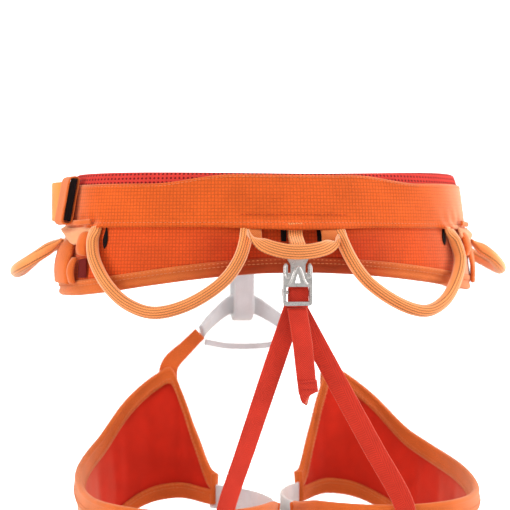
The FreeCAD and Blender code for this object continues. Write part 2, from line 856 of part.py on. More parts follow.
def leg_low(angle):
    return along(LEG_LOW_TABLE, angle)


ELASTIC_HALF = size("elastic_width") / 2
ELASTIC_Z = -222


def leg_elastic(side):
    """Flat elastic that closes the cuff between its two ends on the inside of the leg."""
    first, last = LEG_LAST + 2.6, 360 + LEG_FIRST - 2.6
    sections = []
    for angle in steps(first, last, 17):
        corners = [(-ELASTIC_HALF, 2), (-ELASTIC_HALF, 3.8), (ELASTIC_HALF, 3.8), (ELASTIC_HALF, 2)]
        sections.append([on_leg(side, angle, ELASTIC_Z + height, out) for height, out in corners])
    return loft(sections)


REAR_STRAP_END = {LEFT: -193, RIGHT: -187}
STRAP_APEX_Z = -64


def rear_strap(side):
    """From behind the hook's bar down and outwards to the back of the leg loop."""
    depth = BAR_Y + WRAP + (0 if side == LEFT else 3.6)
    angle = REAR_STRAP_END[side]
    end = on_leg(side, angle, leg_top(angle) - 18, LEG_SHELL_OUT + 2.6)
    top = on_leg(side, angle, leg_top(angle) + 3, LEG_SHELL_OUT + 2.6)
    start = Vector(side * 1.5, depth, STRAP_APEX_Z)
    sag = Vector(0, 1, 0)
    points = [start, start * 0.66 + top * 0.34 + sag, start * 0.3 + top * 0.7 + sag, top, end]
    face = on_leg(side, angle, LEG_MIDDLE, 1) - on_leg(side, angle, LEG_MIDDLE, 0)
    faces = [Vector(0, -1, 0), Vector(0, -1, 0), face * 0.5 + Vector(0, -0.5, 0), face, face]
    return ribbon(points, REAR_STRAP, REAR_THICK, faces=faces, count=31)


FRONT_STRAP_WIDTH = 14


def leg_front_strap(side):
    """Webbing that lifts the front of the leg loop to the end of the lower tie-in loop."""
    base = on_leg(side, 6, leg_top(6) - 15, LEG_SHELL_OUT + 3.4)
    peak = on_leg(side, 7, leg_top(7) + 2, LEG_SHELL_OUT + 3)
    tip = Vector(side * BRIDGE_END.x, BRIDGE_END.y, BRIDGE_END.z)
    run = (tip - Vector(side * 32, 96, BRIDGE_Z - 17)).normalize()
    points = [base, peak, peak * 0.45 + tip * 0.55 + Vector(0, 1.5, 0), tip + run * 3.2]
    faces = [Vector(side * 0.1, 1, 0)] * 4
    return ribbon(points, FRONT_STRAP_WIDTH, 2, faces=faces, widths=[(0, 16), (1, 12)])


for name, side in SIDES.items():
    leg_layer(f"leg_lining_{name}", side, leg_low, leg_top, 0, LEG_LINING_OUT)
    leg_layer(f"leg_foam_{name}", side, leg_low, leg_top, LEG_FOAM_IN, LEG_FOAM_OUT)
    leg_layer(f"leg_shell_{name}", side, leg_low, leg_top, LEG_SHELL_IN, LEG_SHELL_OUT)
    leg_channel(f"leg_top_binding_{name}", side, leg_top, 1, LEG_BINDING, -GAP, LEG_SHELL_OUT + GAP)
    leg_channel(f"leg_low_binding_{name}", side, leg_low, -1, LEG_BINDING, -GAP, LEG_SHELL_OUT + GAP)
    feature(f"leg_elastic_{name}", leg_elastic(side))
    feature(f"leg_front_strap_{name}", leg_front_strap(side))
    feature(f"rear_strap_{name}", rear_strap(side))
doc.recompute()
os.makedirs("parts", exist_ok=True)
for obj in doc.Objects:
    if any(state in obj.State for state in ("Invalid", "Error")):
        raise RuntimeError(f"{obj.Label} failed: {obj.State}")
for obj in SUBPARTS:
    shape = obj.Shape
    if shape.isNull() or not shape.isValid() or shape.Volume <= 0:
        raise RuntimeError(f"{obj.Label} has no valid shape")
for obj in SUBPARTS:
    obj.Shape.exportStep(os.path.join("parts", obj.Label + ".step"))
print(f"wrote {len(SUBPARTS)} sub-parts")
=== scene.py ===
"""Looks of the tree climbing saddle: padded belt and leg loops, webbing, cords, stitching and metal parts.

Lengths in this script are millimetres in the row frame and become metres when a mesh is made. Angles on the
waist ring are degrees from the middle of the back, -90 at the left hip and 90 at the right hip.
"""

import math

import bmesh
import bpy
import numpy as np
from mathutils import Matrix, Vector, noise
from mathutils.bvhtree import BVHTree


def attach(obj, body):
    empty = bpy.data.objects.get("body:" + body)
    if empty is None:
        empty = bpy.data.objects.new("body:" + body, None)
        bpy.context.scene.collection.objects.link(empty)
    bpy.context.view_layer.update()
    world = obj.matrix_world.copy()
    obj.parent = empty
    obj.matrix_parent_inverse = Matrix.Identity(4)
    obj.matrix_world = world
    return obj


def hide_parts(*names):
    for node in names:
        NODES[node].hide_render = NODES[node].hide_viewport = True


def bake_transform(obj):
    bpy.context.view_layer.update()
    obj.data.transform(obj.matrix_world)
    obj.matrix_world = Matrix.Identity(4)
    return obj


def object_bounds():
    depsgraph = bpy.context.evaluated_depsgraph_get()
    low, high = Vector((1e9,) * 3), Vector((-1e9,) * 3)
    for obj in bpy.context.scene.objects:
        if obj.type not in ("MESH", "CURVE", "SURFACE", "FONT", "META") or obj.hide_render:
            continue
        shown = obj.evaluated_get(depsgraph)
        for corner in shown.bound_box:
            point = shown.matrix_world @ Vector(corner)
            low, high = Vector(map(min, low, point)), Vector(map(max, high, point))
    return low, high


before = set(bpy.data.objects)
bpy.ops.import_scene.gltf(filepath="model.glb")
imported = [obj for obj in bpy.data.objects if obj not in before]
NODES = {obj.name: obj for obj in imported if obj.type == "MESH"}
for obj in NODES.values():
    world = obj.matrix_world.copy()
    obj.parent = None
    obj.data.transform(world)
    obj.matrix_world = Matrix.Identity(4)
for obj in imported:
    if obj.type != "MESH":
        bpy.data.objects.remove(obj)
CAD_BOX = [list(corner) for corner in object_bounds()]
MM = 0.001
LEFT, RIGHT = -1, 1
SIDES = {"left": LEFT, "right": RIGHT}

# ------------------------------------------------------------------ sizes shared with the CAD model
HALF_WIDTH, HALF_DEPTH, HIP_FLARE = 153.0, 84.0, 0.13
BELT_END = 154.0
LEG_CENTRE_X, LEG_CENTRE_Y, LEG_HALF_WIDTH, LEG_HALF_DEPTH = 80.0, -36.0, 71.0, 99.0
LEG_TAPER, LEG_MIDDLE = 0.08, -215.0
LEG_FIRST, LEG_LAST = -256.0, 36.0
TOP_TABLE = [(0, 40), (95, 40), (BELT_END, 29)]
LOW_TABLE = [(0, -34), (78, -53), (98, -53), (BELT_END, -13)]
BAND_TOP_TABLE = [(16, 38.6), (42, 31), (95, 31), (BELT_END, 20)]
LEG_TOP_TABLE = [
    (-256, -212),
    (-235, -207),
    (-180, -205),
    (-120, -203),
    (-75, -190),
    (-43, -173),
    (-15, -138),
    (0, -122),
    (7, -117),
    (14, -137),
    (23, -170),
    (36, -203),
]
LEG_LOW_TABLE = [
    (-256, -236),
    (-235, -258),
    (-180, -288),
    (-120, -286),
    (-75, -272),
    (-43, -250),
    (0, -226),
    (14, -224),
    (36, -228),
]


# ------------------------------------------------------------------ vectors, tables and curves
def vec(x, y, z):
    return np.array([x, y, z], float)


def unit(v):
    return v / max(np.linalg.norm(v), 1e-9)


UP = vec(0, 0, 1)


def along(table, at):
    """Value at a place in a table of (place, value), along a smooth curve that doesn't overshoot."""
    places = [place for place, _ in table]
    values = [value for _, value in table]
    if at <= places[0]:
        return values[0]
    if at >= places[-1]:
        return values[-1]
    rises = [(values[i + 1] - values[i]) / (places[i + 1] - places[i]) for i in range(len(table) - 1)]
    slopes = [0.0]
    for before, after in zip(rises, rises[1:]):
        slopes.append(2 * before * after / (before + after) if before * after > 0 else 0.0)
    slopes.append(0.0)
    i = max(k for k in range(len(rises)) if places[k] <= at)
    gap = places[i + 1] - places[i]
    share = (at - places[i]) / gap
    rest = 1 - share
    return (
        values[i] * (1 + 2 * share) * rest * rest
        + values[i + 1] * share * share * (3 - 2 * share)
        + gap * share * rest * (slopes[i] * rest - slopes[i + 1] * share)
    )


def smooth_path(points, spacing):
    """Points every few millimetres along a smooth curve through the given points."""
    pts = [np.array(p, float) for p in points]
    pts = [2 * pts[0] - pts[1]] + pts + [2 * pts[-1] - pts[-2]]
    dense = []
    for i in range(1, len(pts) - 2):
        a, b, c, d = pts[i - 1 : i + 3]
        for t in np.linspace(0, 1, 24, endpoint=False):
            square, cube = 2 * a - 5 * b + 4 * c - d, 3 * b - a - 3 * c + d
            dense.append(0.5 * (2 * b + (c - a) * t + square * t**2 + cube * t**3))
    dense.append(pts[-2])
    return evenly(np.array(dense), spacing)


def distances(points):
    """Distance along a row of points to each of them."""
    steps = np.linalg.norm(np.diff(points, axis=0), axis=1)
    return np.concatenate([[0], np.cumsum(steps)])


def evenly(dense, spacing):
    """The same curve with points at equal distances."""
    length = distances(dense)
    count = max(int(round(length[-1] / spacing)), 3) + 1
    places = np.linspace(0, length[-1], count)
    return np.stack([np.interp(places, length, dense[:, k]) for k in range(3)], axis=1)


def between(vectors, share):
    """The vector at a share of the way through an evenly spaced list."""
    place = share * (len(vectors) - 1)
    low = min(int(place), len(vectors) - 2)
    return np.array(vectors[low]) * (1 - place + low) + np.array(vectors[low + 1]) * (place - low)


def ease(x):
    x = min(max(x, 0.0), 1.0)
    return x * x * (3 - 2 * x)


def bump_at(x, centre, width):
    """A smooth hill of height 1 at centre that falls to 0 at width to either side."""
    return ease(1 - abs(x - centre) / width)


def ripple(point, size_mm, seed=0.0):
    """Smooth noise between about -1 and 1 that changes over size_mm."""
    return noise.noise(Vector(tuple(np.array(point) / size_mm + seed)))


# ------------------------------------------------------------------ the waist ring and the leg rings
def outward(angle):
    turn = math.radians(angle)
    return unit(vec(math.sin(turn) / HALF_WIDTH, -math.cos(turn) / HALF_DEPTH, 0))


def on_belt(angle, height, out):
    """A point on the belt by angle, height above the seam and distance out from the body."""
    turn = math.radians(angle)
    base = vec(HALF_WIDTH * math.sin(turn), -HALF_DEPTH * math.cos(turn), height)
    return base + outward(angle) * (out - HIP_FLARE * height)


TOP_LIFT = {LEFT: 1.2, RIGHT: 3.6}
LOW_LIFT = {LEFT: 1.0, RIGHT: 4.2}


def lifted(table, lifts, angle):
    """A belt edge's height, raised towards the sides."""
    side = RIGHT if angle > 0 else LEFT
    return along(table, abs(angle)) + lifts[side] * ease(abs(angle) / 60)


def belt_top(angle):
    """The top edge, worn a little higher on the right side."""
    return lifted(TOP_TABLE, TOP_LIFT, angle)


def belt_low(angle):
    return lifted(LOW_TABLE, LOW_LIFT, angle)


def band_top(angle):
    return along(BAND_TOP_TABLE, abs(angle)) + belt_top(angle) - along(TOP_TABLE, abs(angle))


def leg_normal(side, angle):
    turn = math.radians(angle)
    return unit(vec(-side * math.sin(turn) * LEG_HALF_DEPTH, math.cos(turn) * LEG_HALF_WIDTH, 0))


def on_leg(side, angle, height, out):
    """A point round a leg loop by angle (0 at the front of the leg), height and distance out from the leg."""
    turn = math.radians(angle)
    x = side * (LEG_CENTRE_X - LEG_HALF_WIDTH * math.sin(turn))
    y = LEG_CENTRE_Y + LEG_HALF_DEPTH * math.cos(turn)
    return vec(x, y, height) + leg_normal(side, angle) * (out + LEG_TAPER * (height - LEG_MIDDLE))


def leg_top(angle):
    return along(LEG_TOP_TABLE, angle)


def leg_low(angle):
    return along(LEG_LOW_TABLE, angle)


def even_angles(place, first, last, spacing):
    """Angles at equal distances along a ring; place gives the ring's point at an angle."""
    fine = np.linspace(first, last, 400)
    dense = np.array([place(a) for a in fine])
    length = distances(dense)
    count = int(round(length[-1] / spacing)) + 1
    places = np.linspace(0, length[-1], count)
    return np.interp(places, length, fine), places


# ------------------------------------------------------------------ meshes
def new_object(name, verts, faces, uvs=None, parts=None):
    """A smooth mesh object. verts are in millimetres and uvs hold one (u, v) per face corner in metres."""
    mesh = bpy.data.meshes.new(name)
    mesh.from_pydata([tuple(np.array(v) * MM) for v in verts], [], faces)
    if uvs is not None:
        layer = mesh.uv_layers.new(name="weave")
        layer.data.foreach_set("uv", np.array(uvs, float).ravel())
    if parts is not None:
        mesh.polygons.foreach_set("material_index", parts)
    mesh.polygons.foreach_set("use_smooth", [True] * len(mesh.polygons))
    mesh.validate()
    obj = bpy.data.objects.new(name, mesh)
    bpy.context.scene.collection.objects.link(obj)
    return obj


def finish_piece(obj, body, slot, *materials):
    for material in materials:
        obj.data.materials.append(material)
    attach(obj, body)
    return obj


def sweep(name, rings, lengths, turns):
    """A closed tube through rings of points. lengths and turns are the weave's distances, in millimetres."""
    count, sides = len(rings), len(rings[0])
    verts = [p for ring in rings for p in ring]
    faces, uvs = [], []
    for i in range(count - 1):
        for j in range(sides):
            k = (j + 1) % sides
            faces.append((i * sides + j, i * sides + k, (i + 1) * sides + k, (i + 1) * sides + j))
            near, far = turns[j], turns[j + 1]
            u0, u1 = lengths[i], lengths[i + 1]
            uvs += [(u0, near), (u0, far), (u1, far), (u1, near)]
    faces.append(tuple(range(sides - 1, -1, -1)))
    uvs += [(lengths[0], turns[j]) for j in range(sides - 1, -1, -1)]
    base = (count - 1) * sides
    faces.append(tuple(base + j for j in range(sides)))
    uvs += [(lengths[-1], turns[j]) for j in range(sides)]
    return new_object(name, verts, faces, np.array(uvs) * MM)


def strap_profile(width, thick, crown=0.0):
    """Round-edged flat section, as (across, out) pairs."""
    half, r = width / 2, thick / 2
    flat = np.linspace(half - r, -half + r, 9)
    front = [(x, r + crown * (1 - (x / half) ** 2)) for x in flat]
    left = [(-half + r - r * math.sin(a), r * math.cos(a)) for a in np.linspace(0, math.pi, 5)[1:-1]]
    back = [(x, -r + crown * (1 - (x / half) ** 2)) for x in flat[::-1]]
    right = [(half - r + r * math.sin(a), -r * math.cos(a)) for a in np.linspace(0, math.pi, 5)[1:-1]]
    return front + left + back + right


def oval_profile(wide, thick, sides=22):
    turns = np.linspace(0, 2 * math.pi, sides, endpoint=False)
    return [(wide / 2 * math.cos(a), thick / 2 * math.sin(a)) for a in turns]


def swept(name, path, profile, faces=None, across=None):
    """Sweeps a section along a path. Its second axis looks along faces, or its first runs along across.
    profile is a list of pairs, or a function of the share of the length that gives one."""
    lengths = distances(path)
    runs = np.gradient(path, axis=0)
    rings = []
    for i, at in enumerate(path):
        share = lengths[i] / lengths[-1]
        run = unit(runs[i])
        if faces is not None:
            out = between(faces, share)
            side = unit(np.cross(run, unit(out - run * out.dot(run))))
        else:
            lead = between(across, share) if isinstance(across, list) else across
            side = unit(lead - run * lead.dot(run))
        lift = unit(np.cross(side, run))
        section = profile(share) if callable(profile) else profile
        rings.append([at + side * x + lift * y for x, y in section])
    section = profile(0.5) if callable(profile) else profile
    loop = np.array(section + section[:1])
    turns = loop[:, 0]
    return sweep(name, rings, lengths, turns)


def sheet(name, outer, inner, lengths, heights, split=False):
    """A closed sheet between two grids of points with the same rows (round the ring) and columns (up)."""
    rows, cols = len(outer), len(outer[0])
    verts = [p for row in outer for p in row] + [p for row in inner for p in row]
    shift = rows * cols
    faces, uvs, parts = [], [], []

    def add(corners, places, part):
        faces.append(corners)
        uvs.extend(places)
        parts.append(part)

    for i in range(rows - 1):
        for j in range(cols - 1):
            a, b, c, d = i * cols + j, i * cols + j + 1, (i + 1) * cols + j + 1, (i + 1) * cols + j
            u0, u1 = lengths[i], lengths[i + 1]
            places = [(u0, heights[i][j]), (u0, heights[i][j + 1]), (u1, heights[i + 1][j + 1]),
                      (u1, heights[i + 1][j])]
            add((d, c, b, a), places[::-1], 0)
            add((a + shift, b + shift, c + shift, d + shift), places, 1)
    rim = [i * cols for i in range(rows)] + [(rows - 1) * cols + j for j in range(1, cols)]
    rim += [i * cols + cols - 1 for i in range(rows - 2, -1, -1)] + [j for j in range(cols - 2, 0, -1)]
    for a, b in zip(rim, rim[1:] + rim[:1]):
        places = [(lengths[k // cols], heights[k // cols][k % cols]) for k in (a, b, b, a)]
        add((a, b, b + shift, a + shift), places, 1 if split else 0)
    obj = new_object(name, verts, faces, np.array(uvs) * MM, parts if split else None)
    make_normals_face_out(obj)
    return obj


def make_normals_face_out(obj):
    bm = bmesh.new()
    bm.from_mesh(obj.data)
    bmesh.ops.recalc_face_normals(bm, faces=bm.faces)
    bm.to_mesh(obj.data)
    bm.free()


def subdivide(obj, levels=1):
    """Applies a smooth subdivision, so the mesh is final."""
    modifier = obj.modifiers.new("smooth", "SUBSURF")
    modifier.levels = modifier.render_levels = levels
    apply_modifiers(obj)


def apply_modifiers(obj):
    bpy.context.view_layer.update()
    graph = bpy.context.evaluated_depsgraph_get()
    mesh = bpy.data.meshes.new_from_object(obj.evaluated_get(graph))
    old = obj.data
    obj.modifiers.clear()
    obj.data = mesh
    bpy.data.meshes.remove(old)


# ------------------------------------------------------------------ materials
def linear(r, g, b):
    """Linear colour from 0-255 display values."""
    values = [c / 255 for c in (r, g, b)]
    return tuple(c / 12.92 if c <= 0.04045 else ((c + 0.055) / 1.055) ** 2.4 for c in values) + (1.0,)


class Graph:
    """Short names for the shader nodes of one material."""

    def __init__(self, name):
        self.material = bpy.data.materials.new(name)
        self.material.use_nodes = True
        self.tree = self.material.node_tree
        self.shader = self.tree.nodes["Principled BSDF"]

    def plug(self, value, socket):
        if isinstance(value, bpy.types.NodeSocket):
            self.tree.links.new(value, socket)
        else:
            socket.default_value = value

    def node(self, kind, settings=None, **inputs):
        made = self.tree.nodes.new("ShaderNode" + kind)
        for key, value in (settings or {}).items():
            setattr(made, key, value)
        for key, value in inputs.items():
            self.plug(value,
                      made.inputs[int(key[1:])] if key[0] == "i" and key[1:].isdigit() else made.inputs[key])
        return made.outputs[0]

    def grey(self, level):
        return self.node("CombineXYZ", i0=level, i1=level, i2=level)

    def math(self, how, a, b=0.0, c=0.0):
        made = self.tree.nodes.new("ShaderNodeMath")
        made.operation = how
        for value, socket in zip((a, b, c), made.inputs):
            self.plug(value, socket)
        return made.outputs[0]

    def mix(self, share, a, b, blend="MIX"):
        made = self.tree.nodes.new("ShaderNodeMix")
        made.data_type = "RGBA"
        made.blend_type = blend
        self.plug(share, made.inputs[0])
        self.plug(a, made.inputs[6])
        self.plug(b, made.inputs[7])
        return made.outputs[2]

    def ramp(self, value, low, high, to_low=0.0, to_high=1.0):
        made = self.tree.nodes.new("ShaderNodeMapRange")
        made.interpolation_type = "SMOOTHSTEP"
        for item, socket in zip((value, low, high, to_low, to_high), made.inputs):
            self.plug(item, socket)
        return made.outputs[0]

    def uv(self):
        made = self.tree.nodes.new("ShaderNodeUVMap")
        made.uv_map = "weave"
        parts = self.tree.nodes.new("ShaderNodeSeparateXYZ")
        self.tree.links.new(made.outputs[0], parts.inputs[0])
        return parts.outputs[0], parts.outputs[1]

    def place(self):
        made = self.tree.nodes.new("ShaderNodeTexCoord")
        return made.outputs["Object"]

    def noise(self, scale, detail=3.0):
        made = self.tree.nodes.new("ShaderNodeTexNoise")
        self.plug(self.place(), made.inputs["Vector"])
        made.inputs["Scale"].default_value = scale
        made.inputs["Detail"].default_value = detail
        return made.outputs[0]

    def wave(self, value, period_mm, shift=0.0):
        """Sine of a distance in metres, with a period in millimetres, between -1 and 1."""
        turns = self.math("MULTIPLY_ADD", value, 2 * math.pi / (period_mm * MM), shift)
        return self.math("SINE", turns)

    def finish(self, colour, height, depth_mm, rough=0.8, sheen=0.08, metal=0.0, pale=0.0):
        # Painted sheen: towards grazing angles the base colour is mixed to a pale cream, by up to pale.
        if pale:
            facing = self.tree.nodes.new("ShaderNodeLayerWeight")
            facing.inputs["Blend"].default_value = 0.35
            share = self.ramp(facing.outputs["Facing"], 0.15, 0.8, 0.0, pale)
            colour = self.mix(share, colour, linear(255, 214, 178))
        self.plug(colour, self.shader.inputs["Base Color"])
        self.shader.inputs["Specular IOR Level"].default_value = 0.5 if metal else 0.2
        self.plug(rough, self.shader.inputs["Roughness"])
        self.plug(metal, self.shader.inputs["Metallic"])
        self.shader.inputs["Sheen Weight"].default_value = sheen
        self.shader.inputs["Sheen Roughness"].default_value = 0.5
        if height is not None:
            bump = self.tree.nodes.new("ShaderNodeBump")
            bump.inputs["Distance"].default_value = depth_mm * MM
            bump.inputs["Strength"].default_value = 1.0
            self.plug(height, bump.inputs["Height"])
            self.tree.links.new(bump.outputs[0], self.shader.inputs["Normal"])
        return self.material


def plain_weave(g, u, v, period):
    """Over-and-under pattern of two thread directions, 0 in the gaps and 1 on the threads."""
    both = g.math("MULTIPLY", g.wave(u, period), g.wave(v, period))
    return g.math("MULTIPLY_ADD", both, 0.5, 0.5)


def middle_shade(g, base, low_share):
    """Painted shade: deeper colour over the middle of the back's lower half, where the shade gathers under
    the hung webbing.
    """
    parts = g.tree.nodes.new("ShaderNodeSeparateXYZ")
    g.plug(g.place(), parts.inputs[0])
    across = g.ramp(g.math("ABSOLUTE", parts.outputs[0]), 0.025, 0.11)
    above = g.ramp(parts.outputs[2], -0.026, 0.012)
    front = g.ramp(parts.outputs[1], -0.08, -0.05)
    share = g.ramp(g.math("MAXIMUM", g.math("MAXIMUM", across, above), front), 0.0, 1.0, low_share, 1.0)
    red = g.math("POWER", share, 0.45)
    return g.mix(1.0, base, g.node("CombineXYZ", i0=red, i1=share, i2=share), "MULTIPLY")


def shaded(g, colour, height, dark=0.72, patchy=0.10, scale=35.0):
    """The colour, darker where height is low and a little uneven over the piece. Where height follows the
    threads, as in the webbing, sleeve, mesh and thread, the darker gaps are painted shade.
    """
    low = tuple(c * dark for c in colour[:3]) + (1.0,)
    woven = g.mix(height, low, colour)
    cloud = g.ramp(g.noise(scale), 0.3, 0.7, 1 - patchy, 1 + patchy * 0.5)
    return g.mix(1.0, woven, g.grey(cloud), "MULTIPLY")


def ripstop(name, rgb, pitch=2.6, middle=0.85):
    """Fine plain weave with a raised square grid."""
    g = Graph(name)
    u, v = g.uv()
    fine = plain_weave(g, u, v, 0.65)
    lines = []
    for way in (u, v):
        near = g.math("PINGPONG", way, pitch / 2 * MM)
        lines.append(g.ramp(near, 0.12 * MM, 0.5 * MM, 1.0, 0.0))
    grid = g.math("MAXIMUM", *lines)
    height = g.math("ADD", g.math("MULTIPLY", fine, 0.4), g.math("MULTIPLY", grid, 0.6))
    colour = linear(*rgb)
    base = shaded(g, colour, g.math("SUBTRACT", 1.0, g.math("MULTIPLY", grid, 0.75)), 0.66, 0.09)
    speck = g.ramp(g.noise(900.0, 2.0), 0.35, 0.65, 0.93, 1.05)
    base = g.mix(1.0, base, g.grey(speck), "MULTIPLY")
    # Painted shade over the middle of the back's lower half, down to middle of the colour.
    base = middle_shade(g, base, middle)
    # pale=0.5 paints a sheen at grazing angles.
    return g.finish(base, height, 0.25, 0.8, 0.03, pale=0.5)


def webbing(name, rgb, pitch=1.5, dark=0.62, rough=0.72, pale=0.25, middle=1.0):
    """Twill webbing: slanting floats across the strap, with fine threads along it."""
    g = Graph(name)
    u, v = g.uv()
    slant = g.math("ADD", u, g.math("ABSOLUTE", v))
    floats = g.math("MULTIPLY_ADD", g.wave(slant, pitch), 0.5, 0.5)
    threads = g.math("MULTIPLY_ADD", g.wave(v, 0.85), 0.5, 0.5)
    height = g.math("ADD", g.math("MULTIPLY", floats, 0.65), g.math("MULTIPLY", threads, 0.35))
    colour = shaded(g, linear(*rgb), g.ramp(height, 0.1, 0.75), dark, 0.08, 60.0)
    # Painted shade over the middle of the back's lower half when middle is below 1.
    if middle < 1:
        colour = middle_shade(g, colour, middle)
    # pale paints a sheen at grazing angles.
    return g.finish(colour, height, 0.3, rough, 0.03, pale=pale)


RIB_PITCH, FLOAT_PITCH = 3.7, 2.1


def sleeve(name, rgb):
    """Tubular woven sleeve: ribs along it, crossed by short floats in a brick pattern."""
    g = Graph(name)
    u, v = g.uv()
    ribs = g.math("ABSOLUTE", g.wave(v, RIB_PITCH))
    shift = g.math("MULTIPLY", g.math("SIGN", g.wave(v, RIB_PITCH)), math.pi / 2)
    turns = g.math("MULTIPLY_ADD", u, 2 * math.pi / (FLOAT_PITCH * MM), shift)
    floats = g.math("MULTIPLY_ADD", g.math("SINE", turns), 0.5, 0.5)
    height = g.math("ADD", g.math("MULTIPLY", ribs, 0.7), g.math("MULTIPLY", floats, 0.3))
    colour = shaded(g, linear(*rgb), g.ramp(height, 0.15, 0.7), 0.34, 0.07, 50.0)
    # pale=0.6 paints a strong sheen at grazing angles.
    return g.finish(colour, height, 0.5, 0.7, 0.05, pale=0.6)


def mesh_cloth(name, rgb, hole_shade_rgb, pitch=3.2):
    """Spacer mesh with staggered round holes, coloured dark as painted shade inside them."""
    g = Graph(name)
    u, v = g.uv()
    along_row = g.wave(u, pitch)
    across_row = g.wave(v, pitch)
    both = g.math("ADD", along_row, across_row)
    hole = g.ramp(both, 0.55, 1.35)
    fine = plain_weave(g, u, v, 0.7)
    height = g.math("SUBTRACT", g.math("MULTIPLY", fine, 0.3), hole)
    base = shaded(g, linear(*rgb), fine, 0.8, 0.08)
    # The holes are coloured dark: painted shade inside them.
    return g.finish(g.mix(hole, base, linear(*hole_shade_rgb)), height, 0.45, 0.9, 0.05)


def thread(name, rgb):
    g = Graph(name)
    twist = g.node("TexWave", {"wave_type": "BANDS", "bands_direction": "DIAGONAL"}, Vector=g.place(),
                   Scale=900.0)
    return g.finish(shaded(g, linear(*rgb), twist, 0.75, 0.05), twist, 0.08, 0.6, 0.05)


def brushed_metal(name, rgb, rough=0.3):
    """Stamped, tumbled aluminium: fine scratches and soft blotches."""
    g = Graph(name)
    stretch = g.tree.nodes.new("ShaderNodeMapping")
    g.plug(g.place(), stretch.inputs["Vector"])
    stretch.inputs["Scale"].default_value = (1.0, 1.0, 14.0)
    fine = g.tree.nodes.new("ShaderNodeTexNoise")
    g.plug(stretch.outputs[0], fine.inputs["Vector"])
    fine.inputs["Scale"].default_value = 420.0
    fine.inputs["Detail"].default_value = 5.0
    scratch = fine.outputs[0]
    blotch = g.noise(160.0, 4.0)
    colour = shaded(g, linear(*rgb), g.ramp(scratch, 0.3, 0.7), 0.86, 0.06, 120.0)
    uneven = g.math("ADD", g.ramp(scratch, 0.3, 0.7, rough - 0.06, rough + 0.08),
                    g.ramp(blotch, 0.3, 0.7, -0.03, 0.05))
    return g.finish(colour, scratch, 0.03, uneven, 0.0, 0.9)


# The band's ripstop, with light painted shade over the middle of the back's lower half.
ORANGE = ripstop("orange_ripstop", (233, 97, 28))
# The lower shell: the same ripstop made darker as a shaded copy, with deeper painted shade over the middle of
# the back.
ORANGE_SHADED = ripstop("orange_shell", (228, 84, 25), middle=0.5)
BINDING = webbing("orange_binding", (242, 116, 46), 1.2)
# The belt's binding, with deep painted shade over the middle of the back's lower half.
BELT_BINDING = webbing("belt_binding", (240, 122, 56), 1.2, middle=0.34)
LOOP = sleeve("loop_sleeve", (248, 152, 86))
LOOP_FLAT = webbing("loop_webbing", (238, 128, 62), 1.4, dark=0.6)
PALE = webbing("pale_webbing", (247, 172, 122), 1.3, dark=0.74)
# The second colour is the painted shade inside the mesh holes.
RED_MESH = mesh_cloth("red_mesh", (228, 62, 52), (120, 18, 14))
RED_LINING = webbing("red_lining", (226, 46, 22), 1.0, dark=0.85, rough=0.9)
RED = webbing("red_webbing", (222, 54, 32), 1.7, dark=0.6)
GREY = webbing("grey_webbing", (226, 231, 233), 1.6, dark=0.85)
# Near-black, used only as painted shadow: in the slits and in the keeper's mouth.
SHADOW_BLACK = webbing("painted_shadow_black", (20, 5, 4), 1.6, dark=0.4, rough=0.95, pale=0.0)
RED_SHADE = webbing("shaded_lining", (122, 18, 8), 1.4, dark=0.5, pale=0.0)
GOLD = webbing("gold_webbing", (240, 152, 52), 1.6, dark=0.7)
THREAD_LIGHT = thread("light_thread", (240, 142, 88))
THREAD_DARK = thread("dark_thread", (196, 66, 20))
THREAD_RED = thread("red_thread", (190, 30, 22))
METAL = brushed_metal("hook_metal", (226, 222, 218))
BUCKLE_METAL = brushed_metal("buckle_metal", (176, 177, 180), 0.34)


# ------------------------------------------------------------------ padded pieces swollen by cloth simulation
def simulate_cloth(obj, group, pressure):
    """Runs pressure inside the closed cloth for 20 frames and returns where its points end up."""
    modifier = obj.modifiers.new("cloth", "CLOTH")
    settings = modifier.settings
    settings.quality = 6
    settings.mass = 0.25
    settings.tension_stiffness = settings.compression_stiffness = 12
    settings.shear_stiffness = 5
    settings.bending_stiffness = 0.6
    settings.use_pressure = True
    settings.uniform_pressure_force = pressure
    settings.vertex_group_mass = group.name
    settings.pin_stiffness = 1
    settings.effector_weights.gravity = 0
    modifier.collision_settings.use_collision = False
    modifier.point_cache.frame_start, modifier.point_cache.frame_end = 1, 20
    scene = bpy.context.scene
    for step in range(1, 21):
        scene.frame_set(step)
    shape = obj.evaluated_get(bpy.context.evaluated_depsgraph_get()).to_mesh()
    places = np.empty(len(shape.vertices) * 3)
    shape.vertices.foreach_get("co", places)
    obj.modifiers.clear()
    scene.frame_set(1)
    return places.reshape(-1, 3)


def swell(obj, held, cap_out, cap_in, facing, pressure=4.0):
    """Swells a closed pad. held gives how firmly a point is sewn down, and the caps are the furthest a point
    moves out or in, in millimetres. facing gives each point's way out."""
    start = np.empty(len(obj.data.vertices) * 3)
    obj.data.vertices.foreach_get("co", start)
    start = start.reshape(-1, 3)
    group = obj.vertex_groups.new(name="sewn")
    for i, weight in enumerate(held):
        group.add([i], float(weight), "REPLACE")
    move = simulate_cloth(obj, group, pressure) - start
    obj.vertex_groups.clear()
    way = np.array(facing)
    outward_move = (move * way).sum(axis=1) / MM
    limit = np.where(outward_move > 0, cap_out, cap_in)
    kept = limit * np.tanh(outward_move / limit)
    side_move = move - way * (outward_move * MM)[:, None]
    size = np.linalg.norm(side_move, axis=1)
    side_move *= np.minimum(1, 1.0 * MM / np.maximum(size, 1e-9))[:, None]
    end = start + way * (kept * MM)[:, None] + side_move * (1 - np.array(held))[:, None]
    obj.data.vertices.foreach_set("co", end.ravel())
    obj.data.update()


